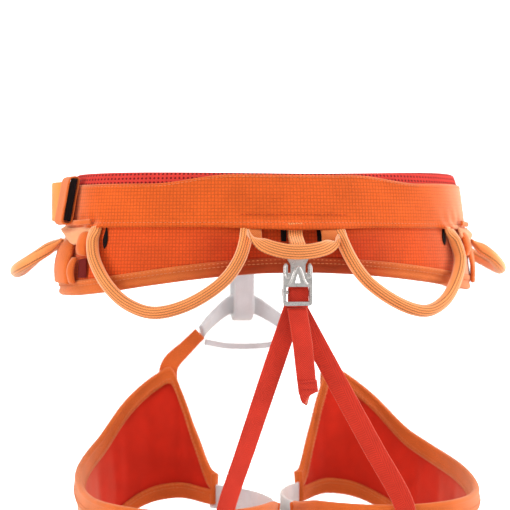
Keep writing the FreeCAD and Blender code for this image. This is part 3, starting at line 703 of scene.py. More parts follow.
def pad(name, place, low, high, first, last, middle, thick, columns, spacing, facing, seams=()):
    """A closed quilted pad round a ring: a thin edge all round and thickness between the sewn lines."""
    angles, lengths = even_angles(lambda a: place(a, (low(a) + high(a)) / 2, 0), first, last, spacing)
    outer, inner, heights, held, ways = [], [], [], [], []
    for i, angle in enumerate(angles):
        to_end = min(i, len(angles) - 1 - i) * spacing
        rows = [[], [], [], []]
        for share in np.linspace(0, 1, columns):
            z = low(angle) * (1 - share) + high(angle) * share
            edge = min(share, 1 - share) * (high(angle) - low(angle))
            full = ease(min(edge, to_end) / 13.0) ** 0.6
            sewn = 1.0 if min(edge, to_end) < 2.5 else 0.0
            for line, width, depth in seams:
                dip = bump_at(z, line, width)
                full *= 1 - depth * dip
                sewn = max(sewn, 0.85 * (dip > 0.6))
            half = thick / 2 * (0.42 + 0.58 * full)
            rows[0].append(place(angle, z, middle + half))
            rows[1].append(place(angle, z, middle - half))
            rows[2].append(z)
            rows[3].append(sewn)
        outer.append(rows[0])
        inner.append(rows[1])
        heights.append(rows[2])
        held += rows[3]
        ways += [facing(angle)] * columns
    obj = sheet(name, outer, inner, lengths, heights, split=True)
    swell(obj, held + held, 1.6, 0.9, ways + [-w for w in ways])
    subdivide(obj)
    return obj


BELT_MIDDLE, BELT_THICK = 4.6, 7.4
belt_pad = pad(
    "belt_pad",
    on_belt,
    lambda a: belt_low(a) + 1.0,
    belt_top,
    -BELT_END + 0.8,
    BELT_END - 0.8,
    BELT_MIDDLE,
    BELT_THICK,
    19,
    5.0,
    outward,
    [(1.0, 9.0, 0.25)],
)
finish_piece(belt_pad, "belt", "red_mesh", RED_MESH, RED_MESH)
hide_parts("belt_foam", "belt_lining", "waist_webbing", "belt_top_trim")


def tree_of(obj):
    data = obj.data
    return BVHTree.FromPolygons([v.co for v in data.vertices], [p.vertices for p in data.polygons])


belt_tree = tree_of(belt_pad)
PROBE = 40.0
seen_outs = {}


def cover(angle, height):
    """How far out the pad's face lies at a place on the belt."""
    key = (round(angle, 2), round(height, 1))
    if key not in seen_outs:
        top, low = belt_top(angle) - 2.0, belt_low(angle) + 3.0
        z = min(max(height, low), top)
        start = Vector(on_belt(angle, z, PROBE) * MM)
        hit = belt_tree.ray_cast(start, Vector(-outward(angle)), 0.06)
        seen_outs[key] = PROBE - hit[3] / MM if hit[0] else BELT_MIDDLE + BELT_THICK / 2
    return seen_outs[key]


# ------------------------------------------------------------------ belt fabrics
def wrinkle(angle, height, size=1.0):
    """Creases and soft unevenness of sewn cloth: stronger at the seam, the hips and the hung webbing."""
    at = on_belt(angle, height, 0)
    soft = 0.35 * ripple(at, 30.0) + 0.16 * ripple(at, 9.0, 7.0)
    pulled = 0.0
    for centre in (-62.0, 62.0):
        near = bump_at(angle, centre, 15.0) * bump_at(height, -2.0, 22.0)
        pulled += near * 0.7 * math.sin((angle - centre) * 1.1 + height * 0.12)
    mid = bump_at(angle, 0.0, 20.0) * bump_at(height, -4.0, 12.0)
    pulled += mid * 0.35 * math.sin(angle * 1.5)
    return size * (soft + pulled)


def belt_sheet(name, low, high, out, thick, columns, spacing=3.0, first=-BELT_END, last=BELT_END):
    """A cloth panel on the belt between two heights: out gives its distance over the pad's face."""
    angles, lengths = even_angles(lambda a: on_belt(a, 0, 8), first, last, spacing)
    outer, inner, heights = [], [], []
    for angle in angles:
        zs = np.linspace(low(angle), high(angle), columns)
        outs = [cover(angle, z) + out(angle, z) for z in zs]
        outer.append([on_belt(angle, z, o) for z, o in zip(zs, outs)])
        inner.append([on_belt(angle, z, o - thick) for z, o in zip(zs, outs)])
        heights.append(list(zs))
    return sheet(name, outer, inner, lengths, heights)


def shell_out(angle, height):
    return 1.0 + wrinkle(angle, height)


def band_low(angle):
    return -1.0 - 2.2 * bump_at(angle, 1.0, 26.0)


def edge_lift(angle):
    """The band's lower edge stands off the shell where webbing comes out from under it."""
    centre = 3.6 * ease(1.7 * bump_at(angle, 0.0, 25.0))
    hips = 2.6 * ease(1.5 * max(bump_at(angle, -63.0, 9.0), bump_at(angle, 57.0, 9.0)))
    return centre + hips


def band_out(angle, height):
    low = ease(1 - (height + 1.0) / 7.0)
    return 2.0 + wrinkle(angle, height, 0.8) + low * (0.5 + edge_lift(angle))


shell = belt_sheet("belt_lower_shell_cloth", lambda a: belt_low(a) + 3.0, lambda a: 7.0, shell_out, 0.8, 19)
finish_piece(shell, "belt", "orange_shell", ORANGE_SHADED)
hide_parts("belt_lower_shell")
band = belt_sheet("belt_upper_band_cloth", band_low, band_top, band_out, 0.9, 17)
finish_piece(band, "belt", "orange_ripstop", ORANGE)
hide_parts("belt_upper_band")


def offset_profile(profile, thick):
    """The same open profile moved sideways by thick, to the left of its way."""
    pts = np.array(profile, float)
    runs = np.gradient(pts, axis=0)
    runs /= np.linalg.norm(runs, axis=1)[:, None]
    return pts + np.stack([-runs[:, 1], runs[:, 0]], axis=1) * thick


def rolled_edge(radius, centre_up, middle, lip, outer_at, inner_at, way):
    """Profile of a folded tape round an edge, as (height from the edge, out): outer lip, roll, inner lip."""
    pts = [(lip, outer_at(lip)), (lip * 0.86, outer_at(lip) + 0.15), (lip * 0.7, outer_at(lip * 0.7))]
    for turn in np.linspace(35, -215, 13):
        a = math.radians(turn)
        pts.append((centre_up + radius * math.sin(a), middle + radius * math.cos(a)))
    pts += [(lip * 0.72, inner_at), (lip * 0.95, inner_at)]
    return [(way * up, out) for up, out in pts]


def edge_tape(name, place, edge, way, profile_at, first, last, spacing, thick=0.8):
    angles, lengths = even_angles(lambda a: place(a, edge(a), 0), first, last, spacing)
    outer, inner, heights = [], [], []
    for angle in angles:
        profile = np.array(profile_at(angle))
        under = offset_profile(profile, thick * way)
        z = edge(angle)
        outer.append([place(angle, z + up, out) for up, out in profile])
        inner.append([place(angle, z + up, out) for up, out in under])
        heights.append(list(distances(profile)))
    return sheet(name, outer, inner, lengths, heights)


BINDING_LIP, BINDING_RADIUS = 10.5, 3.5


def belt_binding_profile(angle):
    z = belt_low(angle)

    def outer_at(up):
        return cover(angle, z + up) + 2.0 + 0.12 * ripple(on_belt(angle, z, 0), 14.0)

    plump = BINDING_RADIUS + 0.25 * ripple(on_belt(angle, z, 0), 22.0, 3.0)
    return rolled_edge(plump, 2.4, BELT_MIDDLE + 0.4, BINDING_LIP, outer_at, 0.1, 1)


binding = edge_tape("belt_lower_binding_tape", on_belt, belt_low, 1, belt_binding_profile, -BELT_END,
                    BELT_END, 3.0)
finish_piece(binding, "belt", "orange_binding", BELT_BINDING)
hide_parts("belt_lower_binding")

for name, side in SIDES.items():
    angle = side * BELT_END
    path = smooth_path([on_belt(angle, z, BELT_MIDDLE) for z in np.linspace(belt_low(angle) + 1,
                                                                            belt_top(angle) - 1, 5)], 2.0)
    end = swept(f"belt_end_tape_{name}", path, oval_profile(5.5, 10.5), faces=[outward(angle)] * 2)
    subdivide(end)
    finish_piece(end, "belt", "orange_binding", BINDING)


# ------------------------------------------------------------------ stitching
STITCH_RING = [(math.cos(a), math.sin(a)) for a in np.linspace(0, 2 * math.pi, 5, endpoint=False)]


def stitches(name, rows, body, material, slot="orange_binding", length=2.3, gap=1.0, radius=0.33):
    """Thread stitches along rows. A row is (points, ways out) and a stitch is a short closed arch."""
    verts, faces = [], []
    for points, outs in rows:
        lengths = distances(points)
        start = gap / 2
        while start + length < lengths[-1]:
            base = len(verts)
            for share, lift, size in ((0, -0.15, 0.6), (0.5, 0.2, 1.0), (1, -0.15, 0.6)):
                s = start + length * share
                at = np.array([np.interp(s, lengths, points[:, k]) for k in range(3)])
                out = unit(np.array([np.interp(s, lengths, outs[:, k]) for k in range(3)]))
                ahead = np.array([np.interp(s + 0.5, lengths, points[:, k]) for k in range(3)])
                behind = np.array([np.interp(s - 0.5, lengths, points[:, k]) for k in range(3)])
                side = unit(np.cross(unit(ahead - behind), out))
                for c, d in STITCH_RING:
                    verts.append(at + side * (c * radius * size) + out * ((d * size + lift) * radius))
            for i in (0, 5):
                for j in range(5):
                    k = (j + 1) % 5
                    faces.append((base + i + j, base + i + k, base + i + 5 + k, base + i + 5 + j))
            faces.append(tuple(base + j for j in range(4, -1, -1)))
            faces.append(tuple(base + 10 + j for j in range(5)))
            start += length + gap
    obj = new_object(name, verts, faces)
    make_normals_face_out(obj)
    return finish_piece(obj, body, slot, material)


def belt_row(height_at, over, first=-BELT_END + 2, last=BELT_END - 2):
    """Points just over the cloth along the belt, for a stitch row."""
    angles = np.linspace(first, last, int(abs(last - first) * 2.4))
    points = np.array([on_belt(a, height_at(a),
                               cover(a, height_at(a)) + over(a, height_at(a))) for a in angles])
    return points, np.array([outward(a) for a in angles])


def on_band(a, z):
    return band_out(a, z) + 0.1


def on_binding(_angle, _height):
    return 2.15


seam_rows = [belt_row(lambda a: 2.6, on_band), belt_row(lambda a: band_top(a) - 1.8, on_band)]
stitches("belt_patch_stitches", [belt_row(lambda a: 8.6, on_band, -15.0, 15.0)], "belt", THREAD_DARK,
         "orange_ripstop",
         radius=0.25)
stitches("belt_seam_stitches", seam_rows, "belt", THREAD_LIGHT, "orange_ripstop", radius=0.27)
lip_rows = [belt_row(lambda a: belt_low(a) + BINDING_LIP - 1.6, on_binding)]
lip_rows.append(belt_row(lambda a: belt_low(a) + BINDING_LIP - 4.2, on_binding))
stitches("belt_binding_stitches", lip_rows, "belt", THREAD_LIGHT)

# ------------------------------------------------------------------ gear loops and haul loop
CORD = 4.8
SHELL_FACE = 9.3
CORD_SEAT = SHELL_FACE + CORD + 0.5
LOOP_TOP = -1.6
REAR_LOOP_DROP = 61.0
REAR_LOOP_SHAPE = {
    LEFT: [
        (12.8, 0),
        (15.1, 0.36),
        (19.8, 0.66),
        (28.5, 0.92),
        (38, 1.03),
        (46.5, 0.93),
        (54, 0.70),
        (60, 0.40),
        (62.5, 0.16),
        (62.5, 0),
    ],
    RIGHT: [
        (12.0, 0),
        (14.7, 0.36),
        (19.4, 0.66),
        (28, 0.92),
        (37, 1.03),
        (45, 0.93),
        (52, 0.70),
        (57.5, 0.40),
        (57.5, 0.16),
        (55.5, 0),
    ],
}
FRONT_LOOP_SHAPE = [(84, 0), (86, 0.5), (93, 0.86), (106, 1), (120, 0.9), (132, 0.52), (136, 0)]
FRONT_LOOP_REACH = 38.0
FRONT_LOOP_TILT = 0.72


def rear_loop_points(side):
    points = []
    for angle, share in REAR_LOOP_SHAPE[side]:
        lean = 8 * share - HIP_FLARE * REAR_LOOP_DROP * share * 0.6
        sunk = 3.5 * ease(1 - share / 0.3)
        points.append(on_belt(side * angle, LOOP_TOP - REAR_LOOP_DROP * share, CORD_SEAT + lean - sunk))
    first, last = points[0] + vec(0, 0.5, 1.6), points[-1] + vec(0, 0.4, 1.6)
    return [first] + points + [last]


def front_loop_points(side):
    points = []
    for angle, share in FRONT_LOOP_SHAPE:
        spot = on_belt(side * angle, 0, CORD_SEAT + FRONT_LOOP_REACH * share)
        sink = 8 + FRONT_LOOP_TILT * max(0.0, abs(spot[0]) - HALF_WIDTH - CORD_SEAT)
        sink -= side * 5.0 * share * ease((spot[1] - 20) / 30)
        points.append(vec(spot[0], spot[1], LOOP_TOP - sink))
    return points


def cord_section(share):
    """Round cord that is sewn flat at both ends."""
    flat = ease(1 - min(share, 1 - share) / 0.07)
    return oval_profile(2 * CORD * (1 + 0.2 * flat), 2 * CORD * (1 - 0.66 * flat), 28)


def gear_loop(name, points, body, outs):
    loop = swept(name, smooth_path(points, 2.2), cord_section, faces=outs)
    finish_piece(loop, body, "loop_cord", LOOP)
    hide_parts(body)


for name, side in SIDES.items():
    points = rear_loop_points(side)
    outs = [outward(side * angle) for angle in np.linspace(13, 62, 8)]
    gear_loop(f"rear_gear_loop_{name}_cord", points, f"rear_gear_loop_{name}", outs)
    points = front_loop_points(side)
    gear_loop(f"front_gear_loop_{name}_cord", points, f"front_gear_loop_{name}", [UP, UP])


HAUL_POINTS = [
    (-36.9, -101.0, -5.4),
    (-34.8, -107.0, -9.4),
    (-25.4, -113.5, -15.3),
    (-12.0, -118.0, -19.0),
    (1.8, -119.0, -19.4),
    (15.8, -115.5, -17.3),
    (26.6, -109.0, -13.2),
    (30.0, -105.0, -11.4),
    (31.2, -100.8, -8.8),
]
HAUL_FACES = [vec(0.95, -0.3, 0), vec(0.35, -0.9, 0.1), vec(0, -1, 0.1), vec(0, -1, 0.1),
              vec(-0.3, -0.9, 0.1)]
HAUL_FACES.append(vec(-0.95, -0.3, 0))


def haul_section(share):
    """Flat hollow webbing that turns edge-on where it comes off its upright ends."""
    open_share = ease(min(share, 1 - share) / 0.22)
    return oval_profile(6.5 + 4.6 * open_share, 2.6 + 1.2 * open_share, 28)


haul = swept("haul_loop_band", smooth_path([vec(*p) for p in HAUL_POINTS], 1.6), haul_section,
             faces=HAUL_FACES)
finish_piece(haul, "haul_loop", "loop_cord", LOOP)
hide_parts("haul_loop")


# ------------------------------------------------------------------ straps
def strap(name, path, width, thick, body, slot, material, faces=None, across=None, nodes=(), crown=0.0):
    """Woven webbing along a path, with round edges. width is a number or a table of (share, width)."""

    def section(share):
        return strap_profile(along(width, share) if isinstance(width, list) else width, thick, crown)

    obj = swept(name, path, section, faces=faces, across=across)
    finish_piece(obj, body, slot, material)
    if nodes:
        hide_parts(*nodes)
    return obj


HAUL_LEGS = {"left": (-30.6, -12.5), "right": (25.0, -12.0)}
for name, (place_x, low) in HAUL_LEGS.items():
    angle = math.degrees(math.asin(place_x / HALF_WIDTH))
    spots = [(low, 4.4), (-9, 4.4), (-6, 3.9), (-3.6, 2.6), (-1.4, 1.2)]
    path = smooth_path([on_belt(angle, z, SHELL_FACE + out) for z, out in spots], 1.5)
    strap(f"haul_loop_{name}_end", path, 13, 2.4, "haul_loop", "loop_cord", LOOP_FLAT,
          faces=[outward(angle)] * 2,
          crown=0.5)


def bar_tack(centre, across, down, out, width, height, rows=5):
    """Rows for a dense block of stitching."""
    found = []
    for share in np.linspace(-0.5, 0.5, rows):
        middle = centre + down * height * share
        points = np.array([middle - across * width / 2, middle, middle + across * width / 2])
        found.append((points, np.array([out] * 3)))
    return found


# ------------------------------------------------------------------ hook plate, hanger and rear straps
HOOK_Y, HOOK_THICK = -104.32, 2.4
BAR_Y, BAR_Z = HOOK_Y + 4.2, -49.6
REAR_WRAP = 2.3
REAR_WIDTH, REAR_THICK = 15.0, 1.8
BACK = vec(0, -1, 0)

def metal_plate(node, material, edge):
    """Gives a CAD piece its metal and rounds its sharp edges by edge millimetres."""
    plate = NODES[node]
    plate.data.materials.clear()
    plate.data.materials.append(material)
    bevel = plate.modifiers.new("edge", "BEVEL")
    bevel.width = edge * MM
    bevel.segments = 3
    bevel.limit_method = "ANGLE"
    bevel.angle_limit = math.radians(40)
    return plate


for node, edge in (("rear_hook", 0.55), ("hook_cheeks", 0.25), ("hook_bar", 0.25)):
    plate = metal_plate(node, METAL, edge)
    plate.data.polygons.foreach_set("use_smooth", [True] * len(plate.data.polygons))

RIDGE = [(7.2, -43.6), (5.4, -41.4), (4.3, -38.5), (2.6, -33.8), (1.0, -30.9), (0, -30.3)]
ridge_path = [vec(x, HOOK_Y - HOOK_THICK / 2, z) for x, z in RIDGE]
ridge_path += [vec(-x, HOOK_Y - HOOK_THICK / 2, z) for x, z in reversed(RIDGE[:-1])]
ridge = swept("hook_ridge", smooth_path(ridge_path, 0.6), oval_profile(1.7, 1.5, 12), faces=[BACK] * 2)
finish_piece(ridge, "rear_hook_plate", "hook_metal", METAL)
for side in (LEFT, RIGHT):
    arm = [(9.7, -29.2), (10.3, -32.5), (9.9, -36.5), (8.4, -38.6), (6.8, -38.3)]
    arm_path = [vec(side * x, HOOK_Y - HOOK_THICK / 2 + 0.1, z) for x, z in arm]
    rim = swept(f"hook_arm_rim_{side + 1}", smooth_path(arm_path, 0.6), oval_profile(1.5, 1.0, 12),
                faces=[BACK] * 2)
    finish_piece(rim, "rear_hook_plate", "hook_metal", METAL)


def hanger_points():
    clear = HOOK_THICK / 2 + 1.0
    face = on_belt(0, LOOP_TOP, cover(0, LOOP_TOP) + 2.2)[1]
    return [
        vec(0, face, 2.0),
        vec(0, face - 0.9, -7),
        vec(0, HOOK_Y + clear + 1, -14),
        vec(0, HOOK_Y + clear, -18.5),
        vec(0, HOOK_Y, -21.3),
        vec(0, HOOK_Y - clear, -18.5),
        vec(0, HOOK_Y - clear - 0.3, -14),
        vec(0, face - 3.0, -7),
        vec(0, face - 1.6, 2.0),
    ]


X_AXIS = vec(1, 0, 0)
hanger = swept("rear_hanger_webbing", smooth_path(hanger_points(), 1.2), strap_profile(11, 1.2),
               across=X_AXIS)
hanger.data.materials.append(LOOP)
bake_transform(hanger)
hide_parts("rear_hanger_loop")


ADJUST_X, TURN_HEIGHT = 1.4, 3.8


def adjust_points():
    x = ADJUST_X
    points = [vec(x, BAR_Y + REAR_WRAP, -62), vec(x, BAR_Y + REAR_WRAP, -55),
              vec(x, BAR_Y + REAR_WRAP, BAR_Z)]
    for swing in (45, 90, 135, 180):
        a = math.radians(swing)
        points.append(vec(x, BAR_Y + REAR_WRAP * math.cos(a), BAR_Z + TURN_HEIGHT * math.sin(a)))
    leave = HOOK_Y + HOOK_THICK / 2 + 0.95
    return points + [vec(x, BAR_Y - REAR_WRAP, -52.5), vec(x, leave, -56), vec(x * 0.6, leave, -60.9)]


strap("rear_adjust_webbing", smooth_path(adjust_points(), 0.8), REAR_WIDTH, 1.4, "belt", "red_webbing", RED,
      across=X_AXIS, nodes=["rear_adjust_strap"])

TAIL_TOP, TAIL_LENGTH = -61.4, 62.0
TAIL_FACES = [vec(0, -1, 0), vec(0.02, -1, 0), vec(0.08, -1, 0), vec(0.22, -1, 0)]
tail_low = TAIL_TOP - TAIL_LENGTH
tail_path = smooth_path(
    [
        vec(0, HOOK_Y + HOOK_THICK / 2 + 0.95, TAIL_TOP),
        vec(0.3, HOOK_Y - 1, TAIL_TOP - 6),
        vec(1.5, HOOK_Y - 9, TAIL_TOP - 25),
        vec(3.1, HOOK_Y - 14, tail_low + 12),
        vec(4.2, HOOK_Y - 15, tail_low),
    ],
    1.6,
)
strap("rear_tail_webbing", tail_path, REAR_WIDTH, REAR_THICK, "rear_strap_tail", "red_webbing", RED,
      faces=TAIL_FACES, nodes=["rear_strap_tail"], crown=0.3)
hem_path = tail_path[-7:] + vec(0.3, -1.9, 0)
hem = smooth_path(list(hem_path) + [hem_path[-1] + vec(0.3, 0.6, -1.2), hem_path[-1] + vec(0.3, 1.9, -1.4)],
                  0.8)
strap("rear_tail_hem", hem, REAR_WIDTH + 0.4, REAR_THICK, "rear_strap_tail", "red_webbing", RED,
      faces=[vec(0.22, -1, 0)] * 2)
hem_rows = []
for back in (3, 6):
    middle = hem_path[-back] + vec(0.2, -1.0, 0)
    side_way = unit(vec(1, 0.22, 0))
    hem_rows.append((np.array([middle - side_way * 6.6, middle, middle + side_way * 6.6]),
                     np.array([[0.22, -1, 0]] * 3)))
stitches("rear_tail_stitches", hem_rows, "rear_strap_tail", THREAD_RED, "red_webbing", 1.8, 0.7)

LEG_SHELL_OUT = 6.2
REAR_END = {LEFT: -193.0, RIGHT: -187.0}


def rear_strap_path(side):
    depth = BAR_Y + REAR_WRAP + (0 if side == LEFT else 3.6)
    angle = REAR_END[side]
    end = on_leg(side, angle, leg_top(angle) - 18, LEG_SHELL_OUT + 2.6)
    top = on_leg(side, angle, leg_top(angle) + 3, LEG_SHELL_OUT + 2.6)
    start = vec(side * 1.5, depth, -60.5)
    points = [start, start * 0.66 + top * 0.34 + vec(0, 1, 0), start * 0.3 + top * 0.7 + vec(0, 1, 0), top,
              end]
    face = leg_normal(side, angle)
    faces = [BACK, BACK, unit(face * 0.5 + BACK * 0.5), face, face]
    return smooth_path(points, 2.2), faces


for name, side in SIDES.items():
    body = f"leg_loop_{name}"
    path, faces = rear_strap_path(side)
    strap(f"rear_strap_{name}_webbing", path, REAR_WIDTH, REAR_THICK, body, "red_webbing", RED, faces=faces,
          nodes=[f"rear_strap_{name}"], crown=0.25)
    face = faces[-1]
    low_end = path[-4] + face * 1.0
    rows = bar_tack(low_end, unit(np.cross(UP, face)), -UP, face, 12.0, 8.0, 6)
    stitches(f"rear_strap_{name}_tack", rows, body, THREAD_RED, "red_webbing", 1.8, 0.5)


# ------------------------------------------------------------------ leg loops
LEG_PAD_MIDDLE, LEG_PAD_THICK = 3.1, 4.6
LEG_TAPE_LIP, LEG_TAPE_RADIUS = 13.0, 2.7


def leg_tape_profile(way):
    def outer_at(_up):
        return LEG_PAD_MIDDLE + LEG_PAD_THICK / 2 + 1.5

    return rolled_edge(LEG_TAPE_RADIUS, 1.6, LEG_PAD_MIDDLE, LEG_TAPE_LIP, outer_at, -0.9, -way)


def leg_edge_row(side, edge, way, out, facing, inset):
    angles = np.linspace(LEG_FIRST + 3, LEG_LAST - 3, 420)
    points = np.array([on_leg(side, a, edge(a) - way * inset, out) for a in angles])
    return points, np.array([leg_normal(side, a) * facing for a in angles])


for name, side in SIDES.items():
    body = f"leg_loop_{name}"

    def place(angle, height, out, side=side):
        return on_leg(side, angle, height, out)

    def facing(angle, side=side):
        return leg_normal(side, angle)

    leg_pad = pad(
        f"leg_pad_{name}",
        place,
        lambda a: leg_low(a) + 1.2,
        lambda a: leg_top(a) - 1.2,
        LEG_FIRST,
        LEG_LAST,
        LEG_PAD_MIDDLE,
        LEG_PAD_THICK,
        15,
        5.0,
        facing,
    )
    finish_piece(leg_pad, body, "orange_ripstop", ORANGE, RED_LINING)
    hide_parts(f"leg_foam_{name}", f"leg_lining_{name}", f"leg_shell_{name}")
    rows = []
    for label, edge, way in (("top", leg_top, 1), ("low", leg_low, -1)):
        profile = leg_tape_profile(way)
        tape = edge_tape(f"leg_{label}_tape_{name}", place, edge, -way, lambda a, p=profile: p, LEG_FIRST,
                         LEG_LAST, 3.0, 0.7)
        finish_piece(tape, body, "orange_binding", BINDING)
        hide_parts(f"leg_{label}_binding_{name}")
        for inset in (LEG_TAPE_LIP - 2.0, LEG_TAPE_LIP - 4.5):
            rows.append(leg_edge_row(side, edge, way, LEG_PAD_MIDDLE + LEG_PAD_THICK / 2 + 1.7, 1, inset))
            rows.append(leg_edge_row(side, edge, way, -1.7, -1, inset))
    stitches(f"leg_tape_stitches_{name}", rows, body, THREAD_LIGHT, radius=0.28)
    for label, angle in (("front", LEG_LAST), ("rear", LEG_FIRST)):
        ends = [on_leg(side, angle, z, LEG_PAD_MIDDLE) for z in np.linspace(leg_low(angle) - 0.5,
                                                                            leg_top(angle) + 0.5, 4)]
        end = swept(f"leg_{label}_end_{name}", smooth_path(ends, 1.5), oval_profile(5.0, 8.4),
                    faces=[leg_normal(side, angle)] * 2)
        subdivide(end)
        finish_piece(end, body, "orange_binding", BINDING)

    angles = np.linspace(LEG_LAST - 3, 360 + LEG_FIRST + 3, 60)
    path = np.array([on_leg(side, a, -222 + 0.25 * math.sin(a * 2.2),
                            3.4 + 0.5 * math.sin(a * 3.1)) for a in angles])
    strap(f"leg_elastic_{name}_band", path, 20, 1.8, body, "grey_webbing", GREY,
          across=UP, nodes=[f"leg_elastic_{name}"])

# ------------------------------------------------------------------ tie-in loops, belay loop and front straps
INNER_RUN, OUTER_RUN, STRAP_THICK, STRAP_WIDTH, FRONT_MIDDLE = 7.3, 12.2, 1.8, 30.0, 8.0
BUCKLE_ANGLE, BUCKLE_HALF, BUCKLE_BAR = -164.0, 17.0, 5.0
RING_Y, RING_TOP, RING_LOW, RING_HALF, RING_WALL, RING_WIDTH = 111.66, 24.5, -79.5, 13.0, 4.0, 18.0
BRIDGE_Z = RING_LOW + RING_WALL + 17.0 / 2 + 4
BRIDGE_END = vec(40, 86, BRIDGE_Z - 24)


def buckle_spot(along_strap, out):
    run = -np.cross(outward(BUCKLE_ANGLE), UP)
    return on_belt(BUCKLE_ANGLE, FRONT_MIDDLE, out) + run * along_strap


def strap_point(angle, out):
    return on_belt(angle, along([(95, 20), (BELT_END, FRONT_MIDDLE)], abs(angle)), out)


def turn_round(centre, way, count=7):
    middle, radius = (OUTER_RUN + INNER_RUN) / 2, (OUTER_RUN - INNER_RUN) / 2
    swings = np.linspace(0, math.pi, count)
    return [buckle_spot(centre + way * radius * math.sin(s), middle - radius * math.cos(s)) for s in swings]


inner = [strap_point(-BELT_END - 0.4, INNER_RUN), buckle_spot(16, INNER_RUN), buckle_spot(8, INNER_RUN)]
outer = [buckle_spot(9, OUTER_RUN), buckle_spot(16, OUTER_RUN)]
outer += [strap_point(angle, OUTER_RUN + 2.4) for angle in (-152, -145, -138, -130, -122, -116)]
waist_path = smooth_path(inner + turn_round(-2.2, -1) + outer, 1.6)
strap("waist_strap_webbing", waist_path, STRAP_WIDTH, STRAP_THICK, "belt", "gold_webbing", GOLD, across=UP,
      nodes=["waist_strap"])

inner = [strap_point(angle, INNER_RUN) for angle in (BELT_END + 0.4, 158, 164, 171, 178,
                                                     184)] + [buckle_spot(-19, INNER_RUN)]
outer = [buckle_spot(-19, OUTER_RUN)] + [strap_point(angle, OUTER_RUN) for angle in (182, 176, 171)]
anchor_path = smooth_path(inner + turn_round(-BUCKLE_HALF + BUCKLE_BAR - 0.4, 1) + outer, 1.6)
strap("buckle_anchor_strap", anchor_path, STRAP_WIDTH, STRAP_THICK, "belt", "grey_webbing", GREY, across=UP,
      nodes=["buckle_anchor_webbing"])
rows = bar_tack(strap_point(173, OUTER_RUN + 1.0), UP, np.cross(outward(173), UP), outward(173), 26.0, 9.0, 5)
stitches("buckle_anchor_tack", rows, "belt", THREAD_DARK, "grey_webbing", 1.8, 0.5)

for node in ("buckle_frame", "buckle_slider"):
    metal_plate(node, BUCKLE_METAL, 0.6)

TAIL_SHAPE = [
    (-122, 4.6),
    (-116, 5.4),
    (-108, 8),
    (-100, 10.2),
    (-92, 9.8),
    (-85, 7.2),
    (-80, 4.6),
    (-77, 4.0),
]
tail_points = [strap_point(angle, OUTER_RUN + out) for angle, out in TAIL_SHAPE]
strap("waist_tail_webbing", smooth_path(tail_points, 2.0), STRAP_WIDTH, STRAP_THICK, "strap_tail",
      "gold_webbing", GOLD,
      across=UP, nodes=["strap_tail"])


KEEPER_ANGLE = -79.0


def keeper_spot(height, out):
    """A place on the keeper: it leans with the hip, further out lower down."""
    return on_belt(KEEPER_ANGLE, height, out + 0.07 * (20 - height))


def keeper_path():
    """Flat elastic loop that stands off the belt, as (height, out) corners at one angle."""
    low, high, near, far = 2.5, 38.0, 12.6, 20.6
    corners = [(20, near), (high - 3, near), (high, near + 2), (high, far - 2.5), (high - 3, far), (20, far)]
    corners += [(low + 3, far), (low, far - 2.5), (low, near + 2), (low + 3, near), (20.5, near)]
    return smooth_path([keeper_spot(z, out) for z, out in corners], 1.2)


KEEPER_WAY = np.cross(outward(KEEPER_ANGLE), UP)
if KEEPER_WAY[1] > 0:
    KEEPER_WAY = -KEEPER_WAY
strap("tail_keeper_elastic", keeper_path(), 14, 1.5, "belt", "orange_binding", BINDING, across=KEEPER_WAY,
      nodes=["tail_keeper"])
# A black strip across the keeper's mouth: painted shadow of the gap between the strap tail and the belt.
keeper_shadow_edges = []
for height in np.linspace(4.5, 37, 9):
    rear_edge = keeper_spot(height, 19.6) + KEEPER_WAY * 6.6
    belt_side = on_belt(-73.6, height, cover(-73.6, height) + 2.6)
    keeper_shadow_edges.append((rear_edge, rear_edge * 0.5 + belt_side * 0.5))
keeper_shadow_path = np.array([(near + far) / 2 for near, far in keeper_shadow_edges])
keeper_shadow_faces = [unit(np.cross(UP, far - near)) for near, far in keeper_shadow_edges]
keeper_shadow_width = float(np.mean([np.linalg.norm(far - near) for near, far in keeper_shadow_edges]))
strap("tail_keeper_shadow", smooth_path(list(keeper_shadow_path), 2.0), keeper_shadow_width, 0.9, "belt", "foam", SHADOW_BLACK,
      faces=keeper_shadow_faces)

foot = on_belt(180, FRONT_MIDDLE, OUTER_RUN + 0.9)[1] + 1.8
half = [(22, foot), (16, foot + 1), (13.5, foot + 7), (9, RING_Y - 1.5)]
tie_in = [vec(x, y, FRONT_MIDDLE) for x, y in half] + [vec(0, RING_Y, FRONT_MIDDLE)]
tie_in += [vec(-x, y, FRONT_MIDDLE) for x, y in reversed(half)]
strap("tie_in_loop_webbing", smooth_path(tie_in, 1.4), 22, 2, "belt", "grey_webbing", GREY, across=UP,
      nodes=["upper_tie_in_loop"])


def closed_loop_path(half, low, high, y):
    """A closed upright loop: two half turns joined by straight sides."""
    straight = (high - low) / 2 - half
    centre = (high + low) / 2
    pts = []
    for turn in np.linspace(-90, 270, 73):
        a = math.radians(turn)
        lifts = {0: (-straight, straight), 180: (straight, -straight)}.get(turn)
        for lift in lifts or [straight if 0 < turn < 180 else -straight]:
            pts.append(vec(0, y + half * math.cos(a), centre + lift + half * math.sin(a)))
    return evenly(np.array(pts), 1.5)


belay_path = closed_loop_path(RING_HALF - RING_WALL / 2, RING_LOW + RING_WALL / 2, RING_TOP - RING_WALL / 2,
                              RING_Y)
strap("belay_loop_webbing", belay_path, RING_WIDTH, RING_WALL, "belay_loop", "grey_webbing", GREY,
      across=X_AXIS,
      nodes=["belay_loop"])
rows = bar_tack(vec(0, RING_Y + RING_HALF + 0.1, -45), X_AXIS, -UP, vec(0, 1, 0), 14.0, 26.0, 9)
stitches("belay_loop_tack", rows, "belay_loop", THREAD_DARK, "grey_webbing", 1.8, 0.5)


def mirrored(points):
    return points + [vec(-p[0], p[1], p[2]) for p in reversed(points[:-1])]


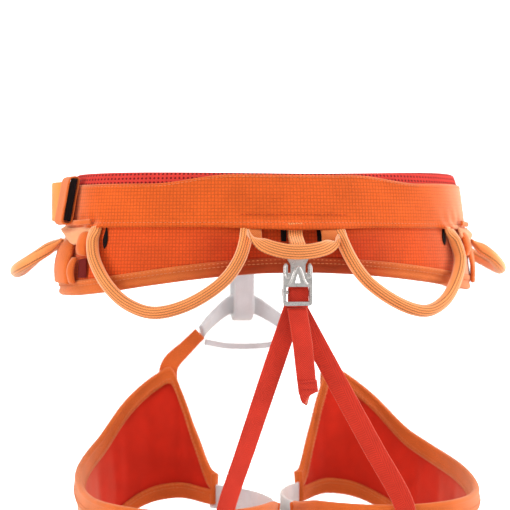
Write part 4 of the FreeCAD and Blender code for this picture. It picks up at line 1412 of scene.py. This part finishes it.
arch = mirrored([BRIDGE_END, vec(32, 96, BRIDGE_Z - 17), vec(20, 106, BRIDGE_Z - 8),
                 vec(10, RING_Y - 1, BRIDGE_Z - 2), vec(0, RING_Y, BRIDGE_Z)])
ARCH_WIDTHS = [(0, 12), (0.3, 14), (0.5, 17), (0.7, 14), (1, 12)]
strap("lower_tie_in_webbing", smooth_path(arch, 1.6), ARCH_WIDTHS, 4, "belt", "grey_webbing", GREY, across=UP,
      nodes=["lower_tie_in_loop"])
sag = mirrored([vec(37, 88, BRIDGE_Z - 33), vec(18, 92.8, BRIDGE_Z - 36.6), vec(0, 94, BRIDGE_Z - 37.5)])
strap("leg_bridge_webbing", smooth_path(sag, 2.0), 5.5, 1.6, "belt", "grey_webbing", GREY, across=UP,
      nodes=["leg_bridge_strap"])

for name, side in SIDES.items():
    tip = vec(side * BRIDGE_END[0], BRIDGE_END[1], BRIDGE_END[2])
    run = unit(tip - vec(side * 32, 96, BRIDGE_Z - 17))
    base = on_leg(side, 6, leg_top(6) - 17, LEG_SHELL_OUT + 2.6)
    peak = on_leg(side, 7, leg_top(7) + 2, LEG_SHELL_OUT + 1.8)
    path = smooth_path([base, peak, peak * 0.45 + tip * 0.55 + vec(0, 1.5, 0), tip + run * 3.2], 1.8)
    strap(f"leg_front_webbing_{name}", path, [(0, 17), (1, 12)], 2, f"leg_loop_{name}", "orange_binding",
          BINDING,
          faces=[vec(side * 0.1, 1, 0)] * 2, nodes=[f"leg_front_strap_{name}"])

# ------------------------------------------------------------------ slits that the hung webbing comes out of, painted as black strips of shadow
def slit(name, angle, high, low, widths):
    """A dark gap in the seam, painted as a thin black strip of shadow just over the cloth."""
    path = [on_belt(angle, z, cover(angle, z) + shell_out(angle, z) + 0.5) for z in np.linspace(high, low, 7)]
    strap(name, smooth_path(path, 1.0), widths, 0.8, "belt", "foam", SHADOW_BLACK, faces=[outward(angle)] * 2)


EVEN_SLIT = [(0, 4.4), (1, 4.0)]
TORN_SLIT = [(0, 0.8), (0.25, 2.4), (0.6, 4.4), (0.85, 3.2), (1, 0.8)]
slit("webbing_slit_left", -3.1, -1.5, -11.5, EVEN_SLIT)
slit("webbing_slit_right", 7.0, -1.5, -11.5, EVEN_SLIT)
slit("hip_slit_left", -58.2, -0.5, -17.0, TORN_SLIT)
slit("hip_slit_right", 53.0, -0.5, -14.0, TORN_SLIT)

# ------------------------------------------------------------------ folded webbing at the hips
def hip_triangle(name, side):
    """Pale webbing folded to a point: its top edge runs along the seam and its sides close to a tip below."""
    outer, inner, lengths, heights = [], [], [], []
    rows, columns = 15, 15
    for i in range(rows):
        share = i / (rows - 1)
        high = 0.6 - 1.4 * math.sin(math.pi * share)
        low = -1.4 - 12.6 * (1 - abs(2 * share - 0.85) ** 1.3 / 1.35)
        low = min(low, high - 0.8)
        angle = 63.0 + 23.0 * share
        outs = []
        for j in range(columns):
            up = j / (columns - 1)
            puff = 2.6 * math.sin(math.pi * min(up * 1.15, 1.0)) + 0.9 * math.sin(9.0 * up + 4.0 * share)
            outs.append((low + (high - low) * up,
                         3.4 + puff * (0.5 + 0.5 * math.sin(math.pi * share)) + 1.6 * share))
        outer.append([on_belt(side * angle, z, cover(side * angle, z) + out) for z, out in outs])
        inner.append([on_belt(side * angle, z, cover(side * angle, z) + out - 1.4) for z, out in outs])
        lengths.append(36.0 * share)
        heights.append([z for z, out in outs])
    patch = sheet(f"hip_fold_{name}", outer, inner, lengths, heights)
    finish_piece(patch, "belt", "pale_webbing", PALE)
    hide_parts(f"hip_wrap_{name}")


def hip_strap(name, part, side, spots, width, thick, material, crown=0.7, nodes=()):
    """Webbing over the hip through (angle, height, out) spots."""
    path = [on_belt(side * a, z, cover(side * a, z) + out) for a, z, out in spots]
    faces = [outward(side * a) for a, z, out in spots]
    strap(f"hip_{part}_{name}", smooth_path(path, 1.4), width, thick, "belt", "orange_shell", material,
          faces=faces,
          crown=crown, nodes=nodes)


for name, side in SIDES.items():
    hip_triangle(name, side)
    hip_strap(name, "hem", side, [(64, 3.6, 5.6), (72, 3.0, 5.0), (81, 3.2, 4.2)], 4.2, 1.6, BINDING)
    puff = 2.2 if side == LEFT else 0.0
    wide = [(77.5, -12, 2.0), (79, -20, 2.8 + puff), (80, -31, 3.2 + puff), (80.5, -43, 2.6 + puff / 2)]
    hip_strap(name, "wide", side, wide, [(0, 12), (0.25, 22), (1, 26)], 3.0, BINDING, crown=1.6,
              nodes=[f"hip_anchor_{name}"])
    hip_strap(name, "knot", side, [(67.5, -5, 2.8), (67.5, -9, 4.6), (68, -16, 5.2), (68.5, -21, 3.0)], 11,
              2.4, BINDING,
              crown=1.4)
    if side == LEFT:
        hip_strap(name, "tuck", side, [(72.5, -25, 3.4), (72, -30, 6.4), (72, -36, 6.6),
                                       (72.5, -42.5, 3.8)], 8, 2.2,
                  BINDING, crown=1.4)
        # A dark red strip painted as the shade in the hollow between the lumps.
        hip_strap(name, "hollow", side, [(68, -25, 2.6), (67.5, -31, 2.8), (67.5, -39, 2.6)], 9, 0.9,
                  RED_SHADE)

# ------------------------------------------------------------------ room, lights and camera
def stage_floor():
    """Plain pale floor that curves up behind the object."""
    low = CAD_BOX[0][2] / MM - 1.0
    profile = [(-3000, low), (1500, low)]
    for turn in np.linspace(0, 90, 12):
        a = math.radians(turn)
        profile.append((1500 + 900 * math.sin(a), low + 900 * (1 - math.cos(a))))
    profile.append((2400, 3500))
    verts = [(x, y, z) for x in (-4000, 4000) for y, z in profile]
    n = len(profile)
    faces = [(i, i + 1, n + i + 1, n + i) for i in range(n - 1)]
    floor = new_object("floor", verts, faces)
    g = Graph("floor_paint")
    speck = g.ramp(g.noise(12.0), 0.3, 0.7, 0.93, 0.96)
    pale = g.grey(speck)
    g.plug(pale, g.shader.inputs["Emission Color"])
    seen = g.tree.nodes.new("ShaderNodeLightPath")
    g.plug(seen.outputs["Is Camera Ray"], g.shader.inputs["Emission Strength"])
    floor.data.materials.append(g.finish(pale, None, 0, 0.9, 0.0))


def area_light(name, place, target, size, power, tint=(1, 1, 1)):
    data = bpy.data.lights.new(name, "AREA")
    data.shape = "RECTANGLE"
    data.size, data.size_y = size
    data.energy = power
    data.color = tint
    lamp = bpy.data.objects.new(name, data)
    lamp.location = place
    lamp.rotation_euler = (Vector(target) - Vector(place)).to_track_quat("-Z", "Y").to_euler()
    bpy.context.scene.collection.objects.link(lamp)


def light_room():
    world = bpy.data.worlds.new("studio")
    bpy.context.scene.world = world
    world.use_nodes = True
    world.node_tree.nodes["Background"].inputs[0].default_value = (1, 1, 1, 1)
    seen = world.node_tree.nodes.new("ShaderNodeLightPath")
    level = world.node_tree.nodes.new("ShaderNodeMapRange")
    level.inputs["To Min"].default_value, level.inputs["To Max"].default_value = 0.36, 1.0
    world.node_tree.links.new(seen.outputs["Is Camera Ray"], level.inputs["Value"])
    world.node_tree.links.new(level.outputs[0], world.node_tree.nodes["Background"].inputs[1])
    area_light("left_box", (-1.6, -0.5, 0.4), (0, 0, -0.05), (1.0, 1.6), 21)
    area_light("right_box", (1.6, -0.4, 0.4), (0, 0, -0.05), (1.0, 1.6), 30)
    area_light("top_box", (0, -0.4, 1.5), (0, 0, 0), (1.6, 1.2), 15)
    area_light("front_box", (0.1, 1.5, 0.5), (0, 0, -0.05), (1.6, 1.2), 7)


SENSOR_WIDTH, LENS, LENS_SHIFT = 36.0, 112.941, -0.02647
CAMERA_AZIMUTH, CAMERA_DISTANCE, CAMERA_HEIGHT = 12.0, 1.290, -0.02175


def place_camera():
    """Behind the wearer, level with the lower half of the belt and a little to the left."""
    data = bpy.data.cameras.new("camera")
    data.sensor_width = SENSOR_WIDTH
    data.lens = LENS
    data.shift_x = LENS_SHIFT
    camera = bpy.data.objects.new("camera", data)
    turn = math.radians(CAMERA_AZIMUTH)
    camera.location = (-CAMERA_DISTANCE * math.sin(turn), -CAMERA_DISTANCE * math.cos(turn), CAMERA_HEIGHT)
    camera.rotation_euler = (math.pi / 2, 0, -turn)
    data.clip_start, data.clip_end = 0.01, 50
    focus = bpy.data.objects.new("focus", None)
    focus.location = (0, -0.085, 0)
    data.dof.use_dof = True
    data.dof.focus_object = focus
    data.dof.aperture_fstop = 8.0
    for obj in (camera, focus):
        bpy.context.scene.collection.objects.link(obj)
    bpy.context.scene.camera = camera


stage_floor()
light_room()
place_camera()
bpy.context.scene.view_settings.view_transform = "Standard"
